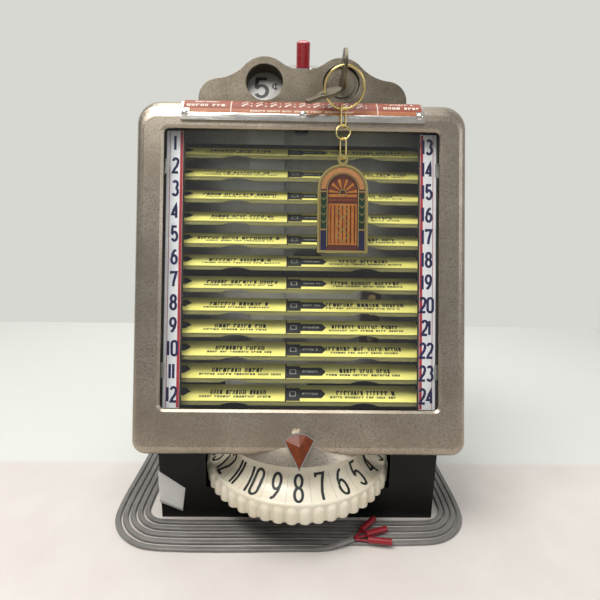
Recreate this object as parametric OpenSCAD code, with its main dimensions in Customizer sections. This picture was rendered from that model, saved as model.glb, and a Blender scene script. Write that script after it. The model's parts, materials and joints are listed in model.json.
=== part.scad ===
// Table and wall selector box: a wedge-shaped steel housing with a hinged cast cover,
// a window over twelve rows of title strips, a numbered dial and a coin head.
// Millimetres, +Z up, origin at the centre of the housing's base, face towards -Y.

/* [Cover] */
// Width of the cast cover
cover_w = 222; // [216:0.5:240]
// Height of the cover, measured along its face
cover_h = 239.2; // [232:0.2:250]
// Depth of the cover from its face to its rear edge
cover_d = 24; // [21:0.5:27]
// Wall thickness of the casting
cover_wall = 2.6; // [2:0.1:3.2]
// Lean of the face back from upright, degrees
lean = 14.5; // [12:0.5:17]
// Corner radius at the top of the cover, seen from the front
cover_top_r = 14; // [10:0.5:17]
// Corner radius at the bottom of the cover, seen from the front
cover_bottom_r = 9; // [8:0.5:12]
// Rounding of the top edge
top_edge = 15; // [10:0.5:17]
// Rounding of the side and bottom edges
side_edge = 6; // [4:0.5:8]
// Gap between the cover and what it closes on
cover_gap = 0.4; // [0.3:0.05:0.8]

/* [Window] */
// Width of the casting's frame beside the window
frame_w = 18.5; // [18:0.1:20]
// Height of the window opening
window_h = 186.9; // [186:0.1:188]
// Height of the window's sill above the cover's bottom edge
window_z = 30.3; // [29:0.1:32]
// Corner radius of the window
window_r = 3.5; // [2:0.5:6]
// Width of the bevel round the window
window_bevel = 1.6; // [0.8:0.1:2.4]
// Thickness of the window glass
glass_t = 2.2; // [1.8:0.1:2.6]
// How far the glass reaches past the opening on each side
glass_lap = 4; // [3:0.5:5]

/* [Dome] */
// Radius of the hood over the dial
dome_r = 69; // [67:0.5:71]
// Height of the hood's centre above the base
dome_z = 26; // [24:0.5:28]
// Height of the hood's lower lip above the base
dome_lip_z = 61.4; // [60.5:0.1:63]

/* [Housing] */
// How far the cover reaches past the housing on each side
overhang = 11.5; // [10.5:0.1:12]
// Depth of the housing
housing_d = 106; // [100:0.5:110]
// Height of the housing's front wall
front_h = 59; // [58:0.5:62]
// Thickness of the sheet steel
sheet = 1.6; // [1.2:0.1:2]
// Distance between the wall-screw holes, side to side
wall_hole_x = 140; // [120:1:160]
// Distance between the wall-screw holes, up and down
wall_hole_z = 150; // [130:1:170]
// Diameter of the wall-screw holes
wall_hole_d = 6.5; // [5:0.1:8]

/* [Dial] */
// Outer radius of the dial's fluted skirt
dial_r = 70; // [68.5:0.1:71]
// Distance of the dial's axis behind the housing's front wall
dial_setback = 29.4; // [28:0.2:31]
// Height of the skirt's lower edge
dial_z = 26.5; // [26:0.1:27]
// Height of the skirt
skirt_h = 12.5; // [11:0.5:13]
// Height of the whole dial
dial_h = 30.5; // [29:0.1:31]
// Wall thickness of the moulded dial
dial_wall = 2.6; // [2:0.1:3]
// Number of selections on the dial
selections = 24; // [24:1:24]
// Depth of the flutes in the skirt
flute_depth = 1.3; // [0.9:0.1:1.6]
// Diameter of the dial's shaft
shaft_d = 8; // [7:0.1:9]
// Radial clearance of a running shaft
shaft_gap = 0.05; // [0.02:0.01:0.1]

/* [Detent] */
// Radius of the notched wheel
wheel_r = 25; // [23:0.5:26.5]
// Thickness of the notched wheel
wheel_t = 4; // [3:0.5:4.5]
// Radius of the roller that drops into the notches
roller_r = 3; // [2.4:0.1:3.2]
// Length of the lever from its pivot to the roller
lever_len = 30; // [27:0.5:33]

/* [Title rack] */
// Number of title rows
rows = 12; // [12:1:12]
// Gap between the window's edge and the rack's side web
rack_gap = 1.3; // [1:0.1:2]
// Depth of the slats' front lips behind the face
lip_depth = 15.5; // [14.5:0.1:17]
// Height of a slat's front lip
lip_h = 2.4; // [1.8:0.1:3]
// Rise of a slat behind its lip
slat_rise = 9.4; // [8:0.1:10]
// Depth that a slat runs back
slat_run = 13.8; // [12:0.2:15]
// Thickness of a slat
slat_t = 0.8; // [0.6:0.1:1]
// Thickness of a title strip
strip_t = 0.4; // [0.3:0.05:0.5]
// Bare end of a slat beside the title strip
slat_end = 8.5; // [7:0.5:10]
// Width of a number strip
number_w = 11; // [9:0.5:12]
// Depth of the number strips behind the face
number_depth = 10; // [9:0.1:11]

/* [Coin head] */
// Diameter of the coin window and of the lock's recess
coin_hole_d = 25.4; // [23:0.1:26]
// Distance of both holes from the middle
hole_x = 26.5; // [25:0.1:28]
// Height of the holes above the head's foot
hole_h = 11.6; // [11:0.1:13]
// Radius of the two humps, centred on the holes
hump_r = 17.8; // [17:0.1:18.4]
// Distance of the outer shoulders' centres from the middle
shoulder_x = 58; // [56:0.5:60]
// Radius of the outer shoulders
shoulder_r = 13.5; // [12:0.1:14.5]
// Depth of the head's front face behind the cover's face
head_depth = 9; // [8:0.5:10]
// Depth of the head from front to back
head_d = 46; // [44:0.5:48]
// Wall thickness of the head
head_wall = 3; // [2.4:0.1:3.4]
// Lean of the price plate inside the coin window, degrees
price_lean = 20; // [15:1:24]

/* [Button] */
// Diameter of the push button
button_d = 9.6; // [8.6:0.1:10]
// Length of the button that stands out of its bushing
button_out = 16.5; // [14:0.5:18]
// Travel of the button
button_travel = 6; // [4:0.5:6]
// Diameter of the bushing's flange
flange_d = 24; // [22:0.5:26]
// Forward tilt of the button from upright, degrees
button_tilt = 20; // [16:1:24]

/* [Lock] */
// Diameter of the lock's barrel
lock_d = 19; // [17:0.1:19.5]
// Diameter of the turning plug
plug_d = 12; // [11:0.1:13]
// Diameter of the key's bow
bow_d = 24; // [21:0.5:26]
// Outer diameter of the split ring
ring_d = 27; // [25:0.5:29]
// Width of the enamelled fob
fob_w = 33; // [30:0.5:35]
// Height of the enamelled fob
fob_h = 58; // [54:0.5:60]

/* [Cable] */
// Width of the flat two-core cable
cable_w = 4; // [3.6:0.1:4.2]
// Thickness of the flat cable
cable_t = 2.4; // [2:0.1:2.8]

/* [Hidden] */
$fn = 48;

eps = 0.01;
seat = 0.3;                       // clearance between pieces that rest on each other
window_w = cover_w - 2 * frame_w;
housing_w = cover_w - 2 * overhang;
rack_w = window_w + 2 * rack_gap;
strips_w = window_w - 2 * slat_end;
back_y = housing_d / 2;
front_y = -housing_d / 2;
face_y = front_y - (cover_d + cover_gap) * cos(lean);
face_z = front_h + (cover_d + cover_gap) * sin(lean);
housing_h = front_h + cover_h * cos(lean);
top_y = front_y + cover_h * sin(lean);
dial_y = front_y + dial_setback;
floor_z = sheet;
head_back = head_depth + head_d;
cam_len = 20;                     // reach of the lock's cam
cam_y = head_depth + 22;          // depth of the cam behind the face

// Height along the face of the housing's flat top, at a depth behind the face.
function top_at(depth) = (housing_h - face_z + depth * sin(lean)) / cos(lean);

// Where the housing's flat top lies, front to back, at a depth behind the face.
function y_on_top(depth) = face_y + depth * cos(lean) + top_at(depth) * sin(lean);

steel_black = "#141415";
cast_grey = "#8f8478";
head_grey = "#7a6f60";
zinc = "#a8a79f";
brass_c = "#c8a24a";
cream = "#e4dcc4";
phenolic = "#5a3520";

// ---- helpers -----------------------------------------------------------------------------

// Places its children in the leaning frame of the face: x across, y behind it, z up along it.
module on_face() translate([0, face_y, face_z]) rotate([-lean, 0, 0]) children();

// Extrudes a (y, z) outline across the object, centred on x = 0.
module across(w) translate([-w / 2, 0, 0]) rotate([90, 0, 90]) linear_extrude(w) children();

// Extrudes an (x, z) outline backwards from depth y0 to y1.
module backwards(y0, y1) translate([0, y1, 0]) rotate([90, 0, 0]) linear_extrude(y1 - y0) children();

// A cylinder that runs backwards from depth y0 to y1.
module rod_y(x, z, d, y0, y1) translate([x, y0, z]) rotate([-90, 0, 0]) cylinder(d = d, h = y1 - y0);

// A box from its lowest to its highest corner.
module block(a, b) translate(a) cube(b - a);

function arc(c, r, a0, a1, n) = [for (i = [0 : n]) c + r * [cos(a0 + (a1 - a0) * i / n), sin(a0 + (a1 - a0) * i / n)]];

// Rounded rectangle in the x-z plane, counter-clockwise seen from the front.
function round_loop(w, z0, z1, rt, rb, n) = concat(
    arc([w / 2 - rb, z0 + rb], rb, -90, 0, n), arc([w / 2 - rt, z1 - rt], rt, 0, 90, n),
    arc([-w / 2 + rt, z1 - rt], rt, 90, 180, n), arc([-w / 2 + rb, z0 + rb], rb, 180, 270, n));

// Skins a stack of loops of equal length. Each loop is [depth, points].
module skin(loops) {
    n = len(loops[0][1]);
    m = len(loops);
    points = [for (l = loops) for (p = l[1]) [p[0], l[0], p[1]]];
    sides = [for (i = [0 : m - 2]) for (j = [0 : n - 1]) let(k = (j + 1) % n)
        each [[i * n + j, i * n + k, (i + 1) * n + k], [i * n + j, (i + 1) * n + k, (i + 1) * n + j]]];
    front = [[for (j = [n - 1 : -1 : 0]) j]];
    rear = [[for (j = [0 : n - 1]) (m - 1) * n + j]];
    polyhedron(points, concat(front, sides, rear), convexity = 6);
}

// Sweeps a flat section, half width hw and half thickness ht, along points that lie mostly level.
function unit(v) = v / norm(v);
function heading(p, i) = unit(p[min(i + 1, len(p) - 1)] - p[max(i - 1, 0)]);
module level_tube(path, section) {
    n = len(section);
    m = len(path);
    points = [for (i = [0 : m - 1]) let(t = heading(path, i), s = unit(cross([0, 0, 1], t)), u = cross(t, s))
        for (q = section) path[i] + q[0] * s + q[1] * u];
    sides = [for (i = [0 : m - 2]) for (j = [0 : n - 1]) let(k = (j + 1) % n)
        each [[i * n + k, i * n + j, (i + 1) * n + k], [i * n + j, (i + 1) * n + j, (i + 1) * n + k]]];
    first = [[for (j = [0 : n - 1]) j]];
    last = [[for (j = [n - 1 : -1 : 0]) (m - 1) * n + j]];
    polyhedron(points, concat(first, sides, last), convexity = 10);
}

// A helical spring round +Z from z = 0 to z = h, on wire centres.
module spring(r, wire, h, turns) {
    per_turn = 10;
    n = turns * per_turn;
    path = [for (i = [0 : n]) [r * cos(360 * i / per_turn), r * sin(360 * i / per_turn), h * i / n]];
    level_tube(path, [for (a = [0 : 60 : 300]) wire / 2 * [cos(a), sin(a)]]);
}

// A link of a chain: a stadium of round wire in the x-z plane, hanging down from the origin.
module link(w, h, wire) {
    r = (w - wire) / 2;
    straight = h - w;
    for (s = [-1, 1]) translate([s * r, 0, -(h - straight) / 2 - straight])
        cylinder(d = wire, h = straight, $fn = 16);
    translate([0, 0, -w / 2]) bow_arc(r, wire, 0);
    translate([0, 0, -w / 2 - straight]) bow_arc(r, wire, 180);
}

module bow_arc(r, wire, turn) rotate([0, turn, 0]) rotate([90, 0, 0])
    rotate_extrude(angle = 180, $fn = 24) translate([r, 0]) circle(d = wire, $fn = 16);

// ---- cover -------------------------------------------------------------------------------

// How far a quarter-round edge of radius e has drawn in at depth y behind the face.
function drop(e, y) = y >= e ? 0 : e - sqrt(pow(e, 2) - pow(e - y, 2));

// Outer or inner form of the casting: inset by t on all sides, with quarter-round edges.
module cover_form(t, y0, y1) {
    steps = 6;
    w = cover_w - 2 * t;
    te = top_edge - t;
    se = side_edge - t;
    rounding = [for (i = [0 : steps]) let(y = te * (1 - cos(90 * i / steps)), s = drop(se, y)) [
        y0 + y, round_loop(w - 2 * s, t + s, cover_h - t - drop(te, y), max(cover_top_r - t - s, 1),
            max(cover_bottom_r - t - s, 1), 6)]];
    rear = [[y1, round_loop(w, t, cover_h - t, cover_top_r - t, cover_bottom_r - t, 6)]];
    skin(concat(rounding, rear));
}

module window_cut(grow, y0, y1) backwards(y0, y1)
    offset_rect(window_w + 2 * grow, window_z - grow, window_z + window_h + grow, window_r + grow);

module offset_rect(w, z0, z1, r) polygon(round_loop(w, z0, z1, r, r, 6));

glass_y = cover_wall + seat;
dome_in_r = dome_r - cover_wall;

module front_cover() color(cast_grey) {
    difference() {
        union() {
            on_face() cover_form(0, 0, cover_d);
            dome_cap(dome_r, dome_lip_z);
        }
        on_face() cover_form(cover_wall, cover_wall, cover_d + 1);
        dome_cap(dome_in_r, dome_lip_z - 1);
        on_face() window_cut(0, -1, cover_wall + 1);
        head_screw_holes(cover_h - cover_wall - 1, cover_h + 1);
        on_face() skin([
            [-eps, round_loop(window_w + 2 * window_bevel, window_z - window_bevel,
                window_z + window_h + window_bevel, window_r + window_bevel, window_r + window_bevel, 6)],
            [window_bevel, round_loop(window_w, window_z, window_z + window_h, window_r, window_r, 6)]]);
    }
}

// The hood: a slice of a sphere about the dial's axis, above the lip and in front of the housing.
module dome_cap(r, lip) intersection() {
    translate([0, dial_y, dome_z]) sphere(r = r, $fn = 96);
    translate([-r, face_y - r, lip]) cube([2 * r, front_y - cover_gap - face_y + r, 2 * r]);
    on_face() translate([-r, -r, -cover_h]) cube([2 * r, r + cover_d, cover_h + dome_top]);
}
dome_top = 22;                    // how far up the face the hood can reach

module window_glass() color([0.8, 0.86, 0.86, 0.3]) on_face()
    backwards(glass_y, glass_y + glass_t) offset_rect(window_w + 2 * glass_lap,
        window_z - glass_lap, window_z + window_h + glass_lap, window_r);

clip_x = window_w / 2 + glass_lap + 5;
clip_z = [window_z + 25, window_z + window_h - 25];
clip_w = 10;
module glass_clips() color(zinc) on_face() for (s = [-1, 1]) for (z = clip_z) mirror([s < 0 ? 1 : 0, 0, 0])
    difference() {
        union() {
            block([clip_x - 11, glass_y + glass_t, z - clip_w / 2], [clip_x + 3, glass_y + glass_t + 1, z + clip_w / 2]);
            block([clip_x - 3, cover_wall, z - clip_w / 2], [clip_x + 3, glass_y + glass_t + eps, z + clip_w / 2]);
        }
        rod_y(clip_x, z, small_screw_d + 0.1, 0, cover_d);
    }

small_screw_d = 3;
small_head_d = 5.5;
small_head_t = 1.6;
head_screw_x = 50;
head_screw_y = 19.5;
module head_screw_holes(z0, z1) on_face() for (s = [-1, 1]) translate([s * head_screw_x, head_screw_y, z0])
    cylinder(d = small_screw_d + 0.1, h = z1 - z0);

// Four screws hold the glass clips, two more hold the coin head from inside the cover.
module cover_screws() color(zinc) on_face() {
    for (s = [-1, 1]) for (z = clip_z) {
        rod_y(s * clip_x, z, small_screw_d, cover_wall, glass_y + glass_t + 1);
        rod_y(s * clip_x, z, small_head_d, glass_y + glass_t + 1, glass_y + glass_t + 1 + small_head_t);
    }
    for (s = [-1, 1]) translate([s * head_screw_x, head_screw_y, cover_h - cover_wall]) {
        cylinder(d = small_screw_d, h = cover_wall + 5);
        translate([0, 0, -small_head_t]) cylinder(d = small_head_d, h = small_head_t);
    }
}

// The enamelled plate wraps the rounded top edge of the cover.
plate_w = 162.5;
plate_t = 1.4;
plate_z = window_z + window_h + 4.6;
plate_proud = 0.05;
plate_bend = 62;                  // degrees of the top edge's curve that the plate covers
module plate_form(r0, r1) {
    c = cover_h - top_edge;
    across(plate_w) polygon(concat(
        [[-r1 + top_edge, plate_z]], [for (p = arc([top_edge, c], r1, 180, 180 - plate_bend, 10)) p],
        [for (p = arc([top_edge, c], r0, 180 - plate_bend, 180, 10)) p], [[-r0 + top_edge, plate_z]]));
}
screw_in = 3;
screw_x = [-plate_w / 2 + screw_in, 0, plate_w / 2 - screw_in];
screw_z = plate_z + 4.5;
module instruction_plate() color("#b5533a") on_face() difference() {
    plate_form(top_edge + plate_proud, top_edge + plate_proud + plate_t);
    for (x = screw_x) rod_y(x, screw_z, 2.2, -top_edge, cover_wall);
}

module drive_screws() color(zinc) on_face() for (x = screw_x) {
    rod_y(x, screw_z, 2, -plate_proud - plate_t - eps, -eps);
    translate([x, -plate_proud - plate_t, screw_z]) rotate([90, 0, 0])
        intersection() {
            translate([0, 0, -1.6]) sphere(r = 2.85, $fn = 32);
            cylinder(d = 6, h = 3);
        }
}

// Kite-shaped pointer over the hood.
jewel_w = 18.6;
jewel_h = 21.6;
jewel_shoulder = 17.6;            // height of the kite's widest line above its tip
jewel_z = -6.4;                   // height of its tip along the face
jewel_y = -1.2;                   // depth of its back at the top
jewel_pitch = 14;                 // degrees that the tip stands forward over the hood
function kite(g) = [[0, -g * 1.6], [jewel_w / 2 + g, jewel_shoulder + g * 0.3],
    [jewel_w / 4, jewel_h - 0.9 + g], [0, jewel_h + g], [-jewel_w / 4, jewel_h - 0.9 + g],
    [-jewel_w / 2 - g, jewel_shoulder + g * 0.3]];
module on_jewel() on_face() translate([0, jewel_y, jewel_z + jewel_h]) rotate([-jewel_pitch, 0, 0])
    translate([0, 0, -jewel_h]) children();
jewel_rim = 0.9;
jewel_t = 3;
module pointer_bezel() color(zinc) difference() {
    on_jewel() difference() {
        backwards(-jewel_t, 16) polygon(kite(jewel_rim));
        backwards(-jewel_t - 1, -0.6) polygon(kite(seat / 3));
    }
    on_face() cover_form(-seat / 3, -seat / 3, cover_d);
    translate([0, dial_y, dome_z]) sphere(r = dome_r + seat / 3, $fn = 96);
}

module pointer_jewel() color("#8a4a1e") on_jewel() translate([0, -jewel_t, 0]) {
    c = [0, -3.2, jewel_shoulder - 4];
    k = kite(0);
    n = len(k);
    polyhedron(concat([for (p = k) [p[0], 0, p[1]]], [for (p = k) [p[0], jewel_t - 0.7, p[1]]], [c]),
        concat([for (i = [0 : n - 1]) [(i + 1) % n, i, 2 * n]],
            [for (i = [0 : n - 1]) let(j = (i + 1) % n) each [[i, j, n + j], [i, n + j, n + i]]],
            [[for (i = [0 : n - 1]) n + i]]));
}

// ---- hinge along the left edge -------------------------------------------------------------

hinge_x = -(housing_w / 2 + 6);
pin_d = 3;
knuckle_d = 7;
hinge_y = cover_d + cover_gap + knuckle_d / 2 + 0.2;
hinge_zs = [36, 186];            // lower end of each hinge along the face
hinge_len = 36;
knuckle = hinge_len / 3;
module knuckles(from) for (z = hinge_zs) for (k = from)
    translate([hinge_x, hinge_y, z + k * knuckle + 0.2]) difference() {
        cylinder(d = knuckle_d, h = knuckle - 0.4);
        translate([0, 0, -1]) cylinder(d = pin_d + 2 * shaft_gap, h = knuckle + 2);
    }

module hinge_housing_leaf() color(zinc) on_face() {
    knuckles([1]);
    for (z = hinge_zs) difference() {
        block([hinge_x, hinge_y + 1, z + knuckle + 0.2], [-housing_w / 2, hinge_y + 2.4, z + 2 * knuckle - 0.2]);
        translate([hinge_x, hinge_y, z]) cylinder(d = pin_d + 1, h = hinge_len);
    }
    for (z = hinge_zs) block([-housing_w / 2 - 1.4, hinge_y + 1, z + knuckle + 0.2],
        [-housing_w / 2, hinge_y + 16, z + 2 * knuckle - 0.2]);
}

module hinge_pin() color(zinc) on_face() for (z = hinge_zs)
    translate([hinge_x, hinge_y, z]) cylinder(d = pin_d, h = hinge_len);

leaf_x = -cover_w / 2 + cover_wall + seat / 3;
module hinge_cover_leaf() color(zinc) on_face() {
    knuckles([0, 2]);
    for (z = hinge_zs) for (k = [0, 2]) difference() {
        union() {
            block([leaf_x, hinge_y - 1.4, z + k * knuckle + 0.2], [hinge_x, hinge_y, z + (k + 1) * knuckle - 0.2]);
            block([leaf_x, cover_d - 14, z + k * knuckle + 0.2], [leaf_x + 1.4, hinge_y, z + (k + 1) * knuckle - 0.2]);
        }
        translate([hinge_x, hinge_y, z]) cylinder(d = pin_d + 1, h = hinge_len);
    }
}

// ---- housing -------------------------------------------------------------------------------

// Side view of the space inside the housing, open at the leaning front.
module inside_outline() polygon([
    [front_y + sheet, sheet], [back_y - sheet, sheet], [back_y - sheet, housing_h - sheet],
    [top_y - cover_d, housing_h - sheet], [front_y - cover_d, front_h], [front_y + sheet, front_h]]);

slot_w = 2 * sqrt(pow(dial_r, 2) - pow(dial_setback, 2)) + 6;
head_hole_x = hole_x + cam_len + 3;
head_hole_y = [top_y + 5.5, y_on_top(head_back - head_wall) - 0.6];
grommet_x = 40;
grommet_z = 9;
grommet_d = 10;

// The lock's cam turns down behind this plate, which hangs from the top sheet.
strike_w = 18;
strike_t = 1.6;
strike_foot = 228;                // height along the face of its lower end
module strike_plate() color(zinc) difference() {
    union() {
        on_face() block([hole_x - strike_w / 2, cam_y - seat - strike_t, strike_foot],
            [hole_x + strike_w / 2, cam_y - seat, strike_foot + 20]);
        block([hole_x - strike_w / 2, top_y + 1.7, housing_h - sheet - strike_t],
            [hole_x + strike_w / 2, head_hole_y[0], housing_h - sheet]);
    }
    block([0, -cover_w, housing_h - sheet], [cover_w, cover_w, housing_h + cover_w]);
}

module housing() color(steel_black) difference() {
    across(housing_w) polygon([[front_y, 0], [back_y, 0], [back_y, housing_h], [top_y, housing_h], [front_y, front_h]]);
    across(housing_w - 2 * sheet) inside_outline();
    block([-slot_w / 2, front_y - 1, dial_z - 1.5], [slot_w / 2, front_y + sheet + 1, front_h + 1]);
    for (x = [-1, 1]) for (z = [-1, 1])
        rod_y(x * wall_hole_x / 2, housing_h / 2 + z * wall_hole_z / 2, wall_hole_d, back_y - sheet - 1, back_y + 1);
    rod_y(grommet_x, grommet_z, grommet_d, back_y - sheet - 1, back_y + 1);
    block([-head_hole_x, head_hole_y[0], housing_h - sheet - 1], [head_hole_x, head_hole_y[1], housing_h + 1]);
}

module cable_grommet() color("#1c1c1c") difference() {
    union() {
        rod_y(grommet_x, grommet_z, grommet_d, back_y - sheet, back_y);
        rod_y(grommet_x, grommet_z, grommet_d + 4, back_y, back_y + 2);
        rod_y(grommet_x, grommet_z, grommet_d + 4, back_y - sheet - 2, back_y - sheet);
    }
    rod_y(grommet_x, grommet_z, cable_w + 0.8, back_y - sheet - 3, back_y + 3);
}

plate_y = back_y - 11;            // front of the upright chassis plate
chassis_z = [70, housing_h - 5];
module chassis_plate() color(zinc) difference() {
    union() {
        block([-housing_w / 2 + sheet, plate_y, chassis_z[0]], [housing_w / 2 - sheet, plate_y + 1.2, chassis_z[1]]);
        for (s = [-1, 1]) mirror([s < 0 ? 1 : 0, 0, 0])
            block([housing_w / 2 - sheet - 1.2, plate_y, chassis_z[0]], [housing_w / 2 - sheet, back_y - sheet, chassis_z[1]]);
    }
    for (x = chassis_screw_x) for (z = chassis_screw_z) rod_y(x, z, 4.2, plate_y - 1, plate_y + 2);
}
chassis_screw_in = 20;            // distance of the chassis screws from the plate's edges
chassis_screw_x = [for (s = [-1, 1]) s * (housing_w / 2 - chassis_screw_in)];
chassis_screw_z = [chassis_z[0] + chassis_screw_in, chassis_z[1] - chassis_screw_in];
module chassis_screws() color(zinc) for (x = chassis_screw_x) for (z = chassis_screw_z) {
    rod_y(x, z, 4, plate_y, back_y - sheet);
    rod_y(x, z, 7, plate_y - 2.4, plate_y);
}

// ---- dial and its works ----------------------------------------------------------------------

bracket_t = 2.4;
bracket_w = 96;
bracket_front = 20;               // how far the bracket's plate reaches ahead of the shaft
bracket_rear = 34;
boss_d = 22;
bush_d = 14;
boss_top = 12;
disc_z = 8;
disc_t = 2;
disc_r = wheel_r + 1;
stud_r = wheel_r - 3.5;
wheel_z = dial_z - 7.5;
lever_z = wheel_z + wheel_t + 0.4;
lever_t = 2;
roller_at = wheel_r + roller_r / 3;
pivot = [-lever_len, dial_y + roller_at];

module at_dial() translate([0, dial_y, 0]) children();

module bearing_bracket() color(zinc) {
    at_dial() difference() {
        union() {
            translate([-bracket_w / 2, -bracket_front, floor_z])
                cube([bracket_w, bracket_front + bracket_rear, bracket_t]);
            translate([0, 0, floor_z]) cylinder(d = boss_d, h = boss_top - floor_z);
            for (a = [45 : 90 : 315]) rotate(a) translate([stud_r - 3, 0, floor_z]) cylinder(d = 5, h = disc_z - floor_z);
        }
        translate([0, 0, floor_z + 1]) cylinder(d = bush_d, h = boss_top);
    }
    translate([pivot[0], pivot[1], floor_z]) {
        cylinder(d = 8, h = lever_z - floor_z - seat);
        cylinder(d = 4, h = lever_z + lever_t - floor_z + 1);
    }
    translate([spring_x - 3, spring_end - 3.4, floor_z]) cube([6, 3.4, lever_z + 4 - floor_z]);
}

module bearing_bush() color(brass_c) at_dial() translate([0, 0, floor_z + 1]) difference() {
    cylinder(d = bush_d, h = boss_top - floor_z - 1);
    translate([0, 0, 1]) cylinder(d = shaft_d + 2 * shaft_gap, h = boss_top);
}

module contact_disc() color(phenolic) at_dial() translate([0, 0, disc_z]) difference() {
    cylinder(r = disc_r, h = disc_t, $fn = 72);
    translate([0, 0, -1]) cylinder(d = boss_d + 3, h = disc_t + 2);
}

module contact_studs() color(brass_c) at_dial() for (i = [0 : selections - 1])
    rotate(360 * i / selections) translate([stud_r, 0, disc_z + disc_t]) cylinder(d = 4, h = 1.4, $fn = 24);

// Profile of the moulded dial: fluted skirt, concave number band, flat top.
bell_r = dial_r * 0.736;
skirt_top = dial_z + skirt_h;
dial_top = dial_z + dial_h;
function bell(t) = [
    bell_r + (dial_r - 3 - bell_r) * pow(1 - t, 2.1),
    skirt_top + 1.2 + (dial_top - skirt_top - 1.2) * pow(t, 1.25)];
function dial_outline(w) = concat(
    [[0, dial_z], [dial_r - w, dial_z], [dial_r - w, skirt_top - 2.4], [dial_r - w - 0.6, skirt_top - 0.6]],
    [for (i = [0 : 7]) bell(i / 7) - [w, w * 0.8]], [[0, dial_top - w * 0.8]]);

module flute_ring() linear_extrude(skirt_h + dial_h) union() {
    circle(r = dial_r - flute_depth * 1.6, $fn = 120);
    for (i = [0 : 2 * selections - 1]) rotate(180 * (i + 0.5) / selections)
        translate([dial_r - 4.2, 0]) circle(r = 4.2, $fn = 32);
}

hub_d = 20;
module dial() color(cream) at_dial() difference() {
    union() {
        difference() {
            intersection() {
                rotate_extrude($fn = 120) polygon(dial_outline(0));
                translate([0, 0, dial_z - 1]) flute_ring();
            }
            translate([0, 0, -eps]) rotate_extrude($fn = 96) polygon(dial_outline(dial_wall));
        }
        translate([0, 0, lever_z + 4]) cylinder(d = hub_d, h = dial_top - lever_z - 4 - eps);
        for (a = [0 : 60 : 120]) rotate(a) translate([-bell_r + 2, -1, dial_top - 9]) cube([2 * bell_r - 4, 2, 9 - dial_wall / 2]);
    }
    translate([0, 0, dial_z - 5]) cylinder(d = shaft_d, h = dial_h + 10);
}

module dial_shaft() color(zinc) at_dial() {
    translate([0, 0, floor_z + 2 + seat]) cylinder(d = shaft_d, h = dial_top - floor_z - 2 - seat);
    translate([0, 0, dial_top]) cylinder(d = shaft_d - 2, h = 4.4);
}

nut_af = 11;
module dial_nut() color(zinc) at_dial() translate([0, 0, dial_top]) difference() {
    cylinder(d = nut_af / cos(30), h = 3, $fn = 6);
    translate([0, 0, -1]) cylinder(d = shaft_d - 2, h = 6);
}

module detent_wheel() color(zinc) at_dial() translate([0, 0, wheel_z]) difference() {
    union() {
        cylinder(r = wheel_r, h = wheel_t, $fn = 96);
        translate([0, 0, wheel_t - eps]) cylinder(d = hub_d, h = lever_z + 4 - wheel_z - wheel_t);
    }
    translate([0, 0, -1]) cylinder(d = shaft_d, h = 20);
    for (i = [0 : selections - 1]) rotate(360 * i / selections) translate([0, roller_at, -1])
        cylinder(r = roller_r + seat, h = wheel_t + 2, $fn = 24);
    for (i = [0 : 5]) rotate(60 * i + 30) translate([0, wheel_r * 0.56, -1]) cylinder(r = 5, h = wheel_t + 2, $fn = 24);
}

module contact_wiper() color(brass_c) at_dial() difference() {
    union() {
        translate([0, 0, boss_top + seat]) cylinder(d = 16, h = wheel_z - boss_top - seat);
        translate([-3, -3, boss_top + 1]) cube([6, stud_r + 6, 1]);
        translate([0, stud_r, disc_z + disc_t + 1.4 + seat]) cylinder(d = 3, h = boss_top + 1 - disc_z - disc_t - 1.4, $fn = 24);
    }
    translate([0, 0, disc_z]) cylinder(d = shaft_d, h = 20);
}

module detent_lever() color(zinc) {
    difference() {
        union() {
            translate([pivot[0], pivot[1] - 3, lever_z]) cube([lever_len, 6, lever_t]);
            translate([pivot[0], pivot[1], lever_z]) cylinder(d = 9, h = lever_t);
            translate([0, pivot[1], lever_z]) cylinder(d = 7, h = lever_t);
            translate([pivot[0] - 16, pivot[1] - 2.5, lever_z]) cube([14, 5, lever_t]);
        }
        translate([pivot[0], pivot[1], lever_z - 1]) cylinder(d = 4 + 2 * shaft_gap, h = lever_t + 2);
    }
    translate([0, pivot[1], wheel_z]) cylinder(d = 2.4, h = lever_z - wheel_z + eps);
}

module detent_roller() color(brass_c) translate([0, pivot[1], wheel_z + 0.2]) difference() {
    cylinder(r = roller_r, h = wheel_t - 0.4, $fn = 32);
    translate([0, 0, -1]) cylinder(d = 2.4 + 2 * shaft_gap, h = wheel_t + 2);
}

detent_spring_l = 15;
spring_wire = 0.7;
spring_x = pivot[0] - 14;
spring_start = pivot[1] - 2.5 - seat - spring_wire / 2;
spring_end = spring_start - detent_spring_l - seat - spring_wire / 2;
module detent_spring() color(zinc) translate([spring_x, spring_start, lever_z + 1]) rotate([90, 0, 0])
    spring(2.2, spring_wire, detent_spring_l, 6);

// ---- title rack --------------------------------------------------------------------------

row_pitch = window_h / rows;
slot_z0 = window_z;               // bottom of the lowest lip
rack_back = lip_depth + slat_run + 8;
web_t = 1.2;
number_in = window_w / 2 - number_w;
rack_top = window_z + window_h + 2;
rack_foot = window_z - 2;

module slat_profile() {
    y0 = lip_depth;
    y1 = lip_depth + slat_run;
    polygon([[y0, 0], [y0 + slat_t, 0], [y0 + slat_t, lip_h - 0.2], [y1 + slat_t, lip_h + slat_rise - 0.4],
        [y1, lip_h + slat_rise], [y0, lip_h]]);
}

notch_x = 45;
notch_w = 20;
notch_rise = 1.9;
notch_r = (pow(notch_w / 2, 2) + pow(notch_rise, 2)) / (2 * notch_rise);
module title_slats() color("#8b8c6a") on_face() for (k = [0 : rows - 1]) translate([0, 0, slot_z0 + k * row_pitch])
    difference() {
        across(rack_w) slat_profile();
        for (s = [-1, 1]) rod_y(s * notch_x, notch_rise - notch_r, 2 * notch_r, lip_depth - 1, lip_depth + slat_t + 0.4);
    }

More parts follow.
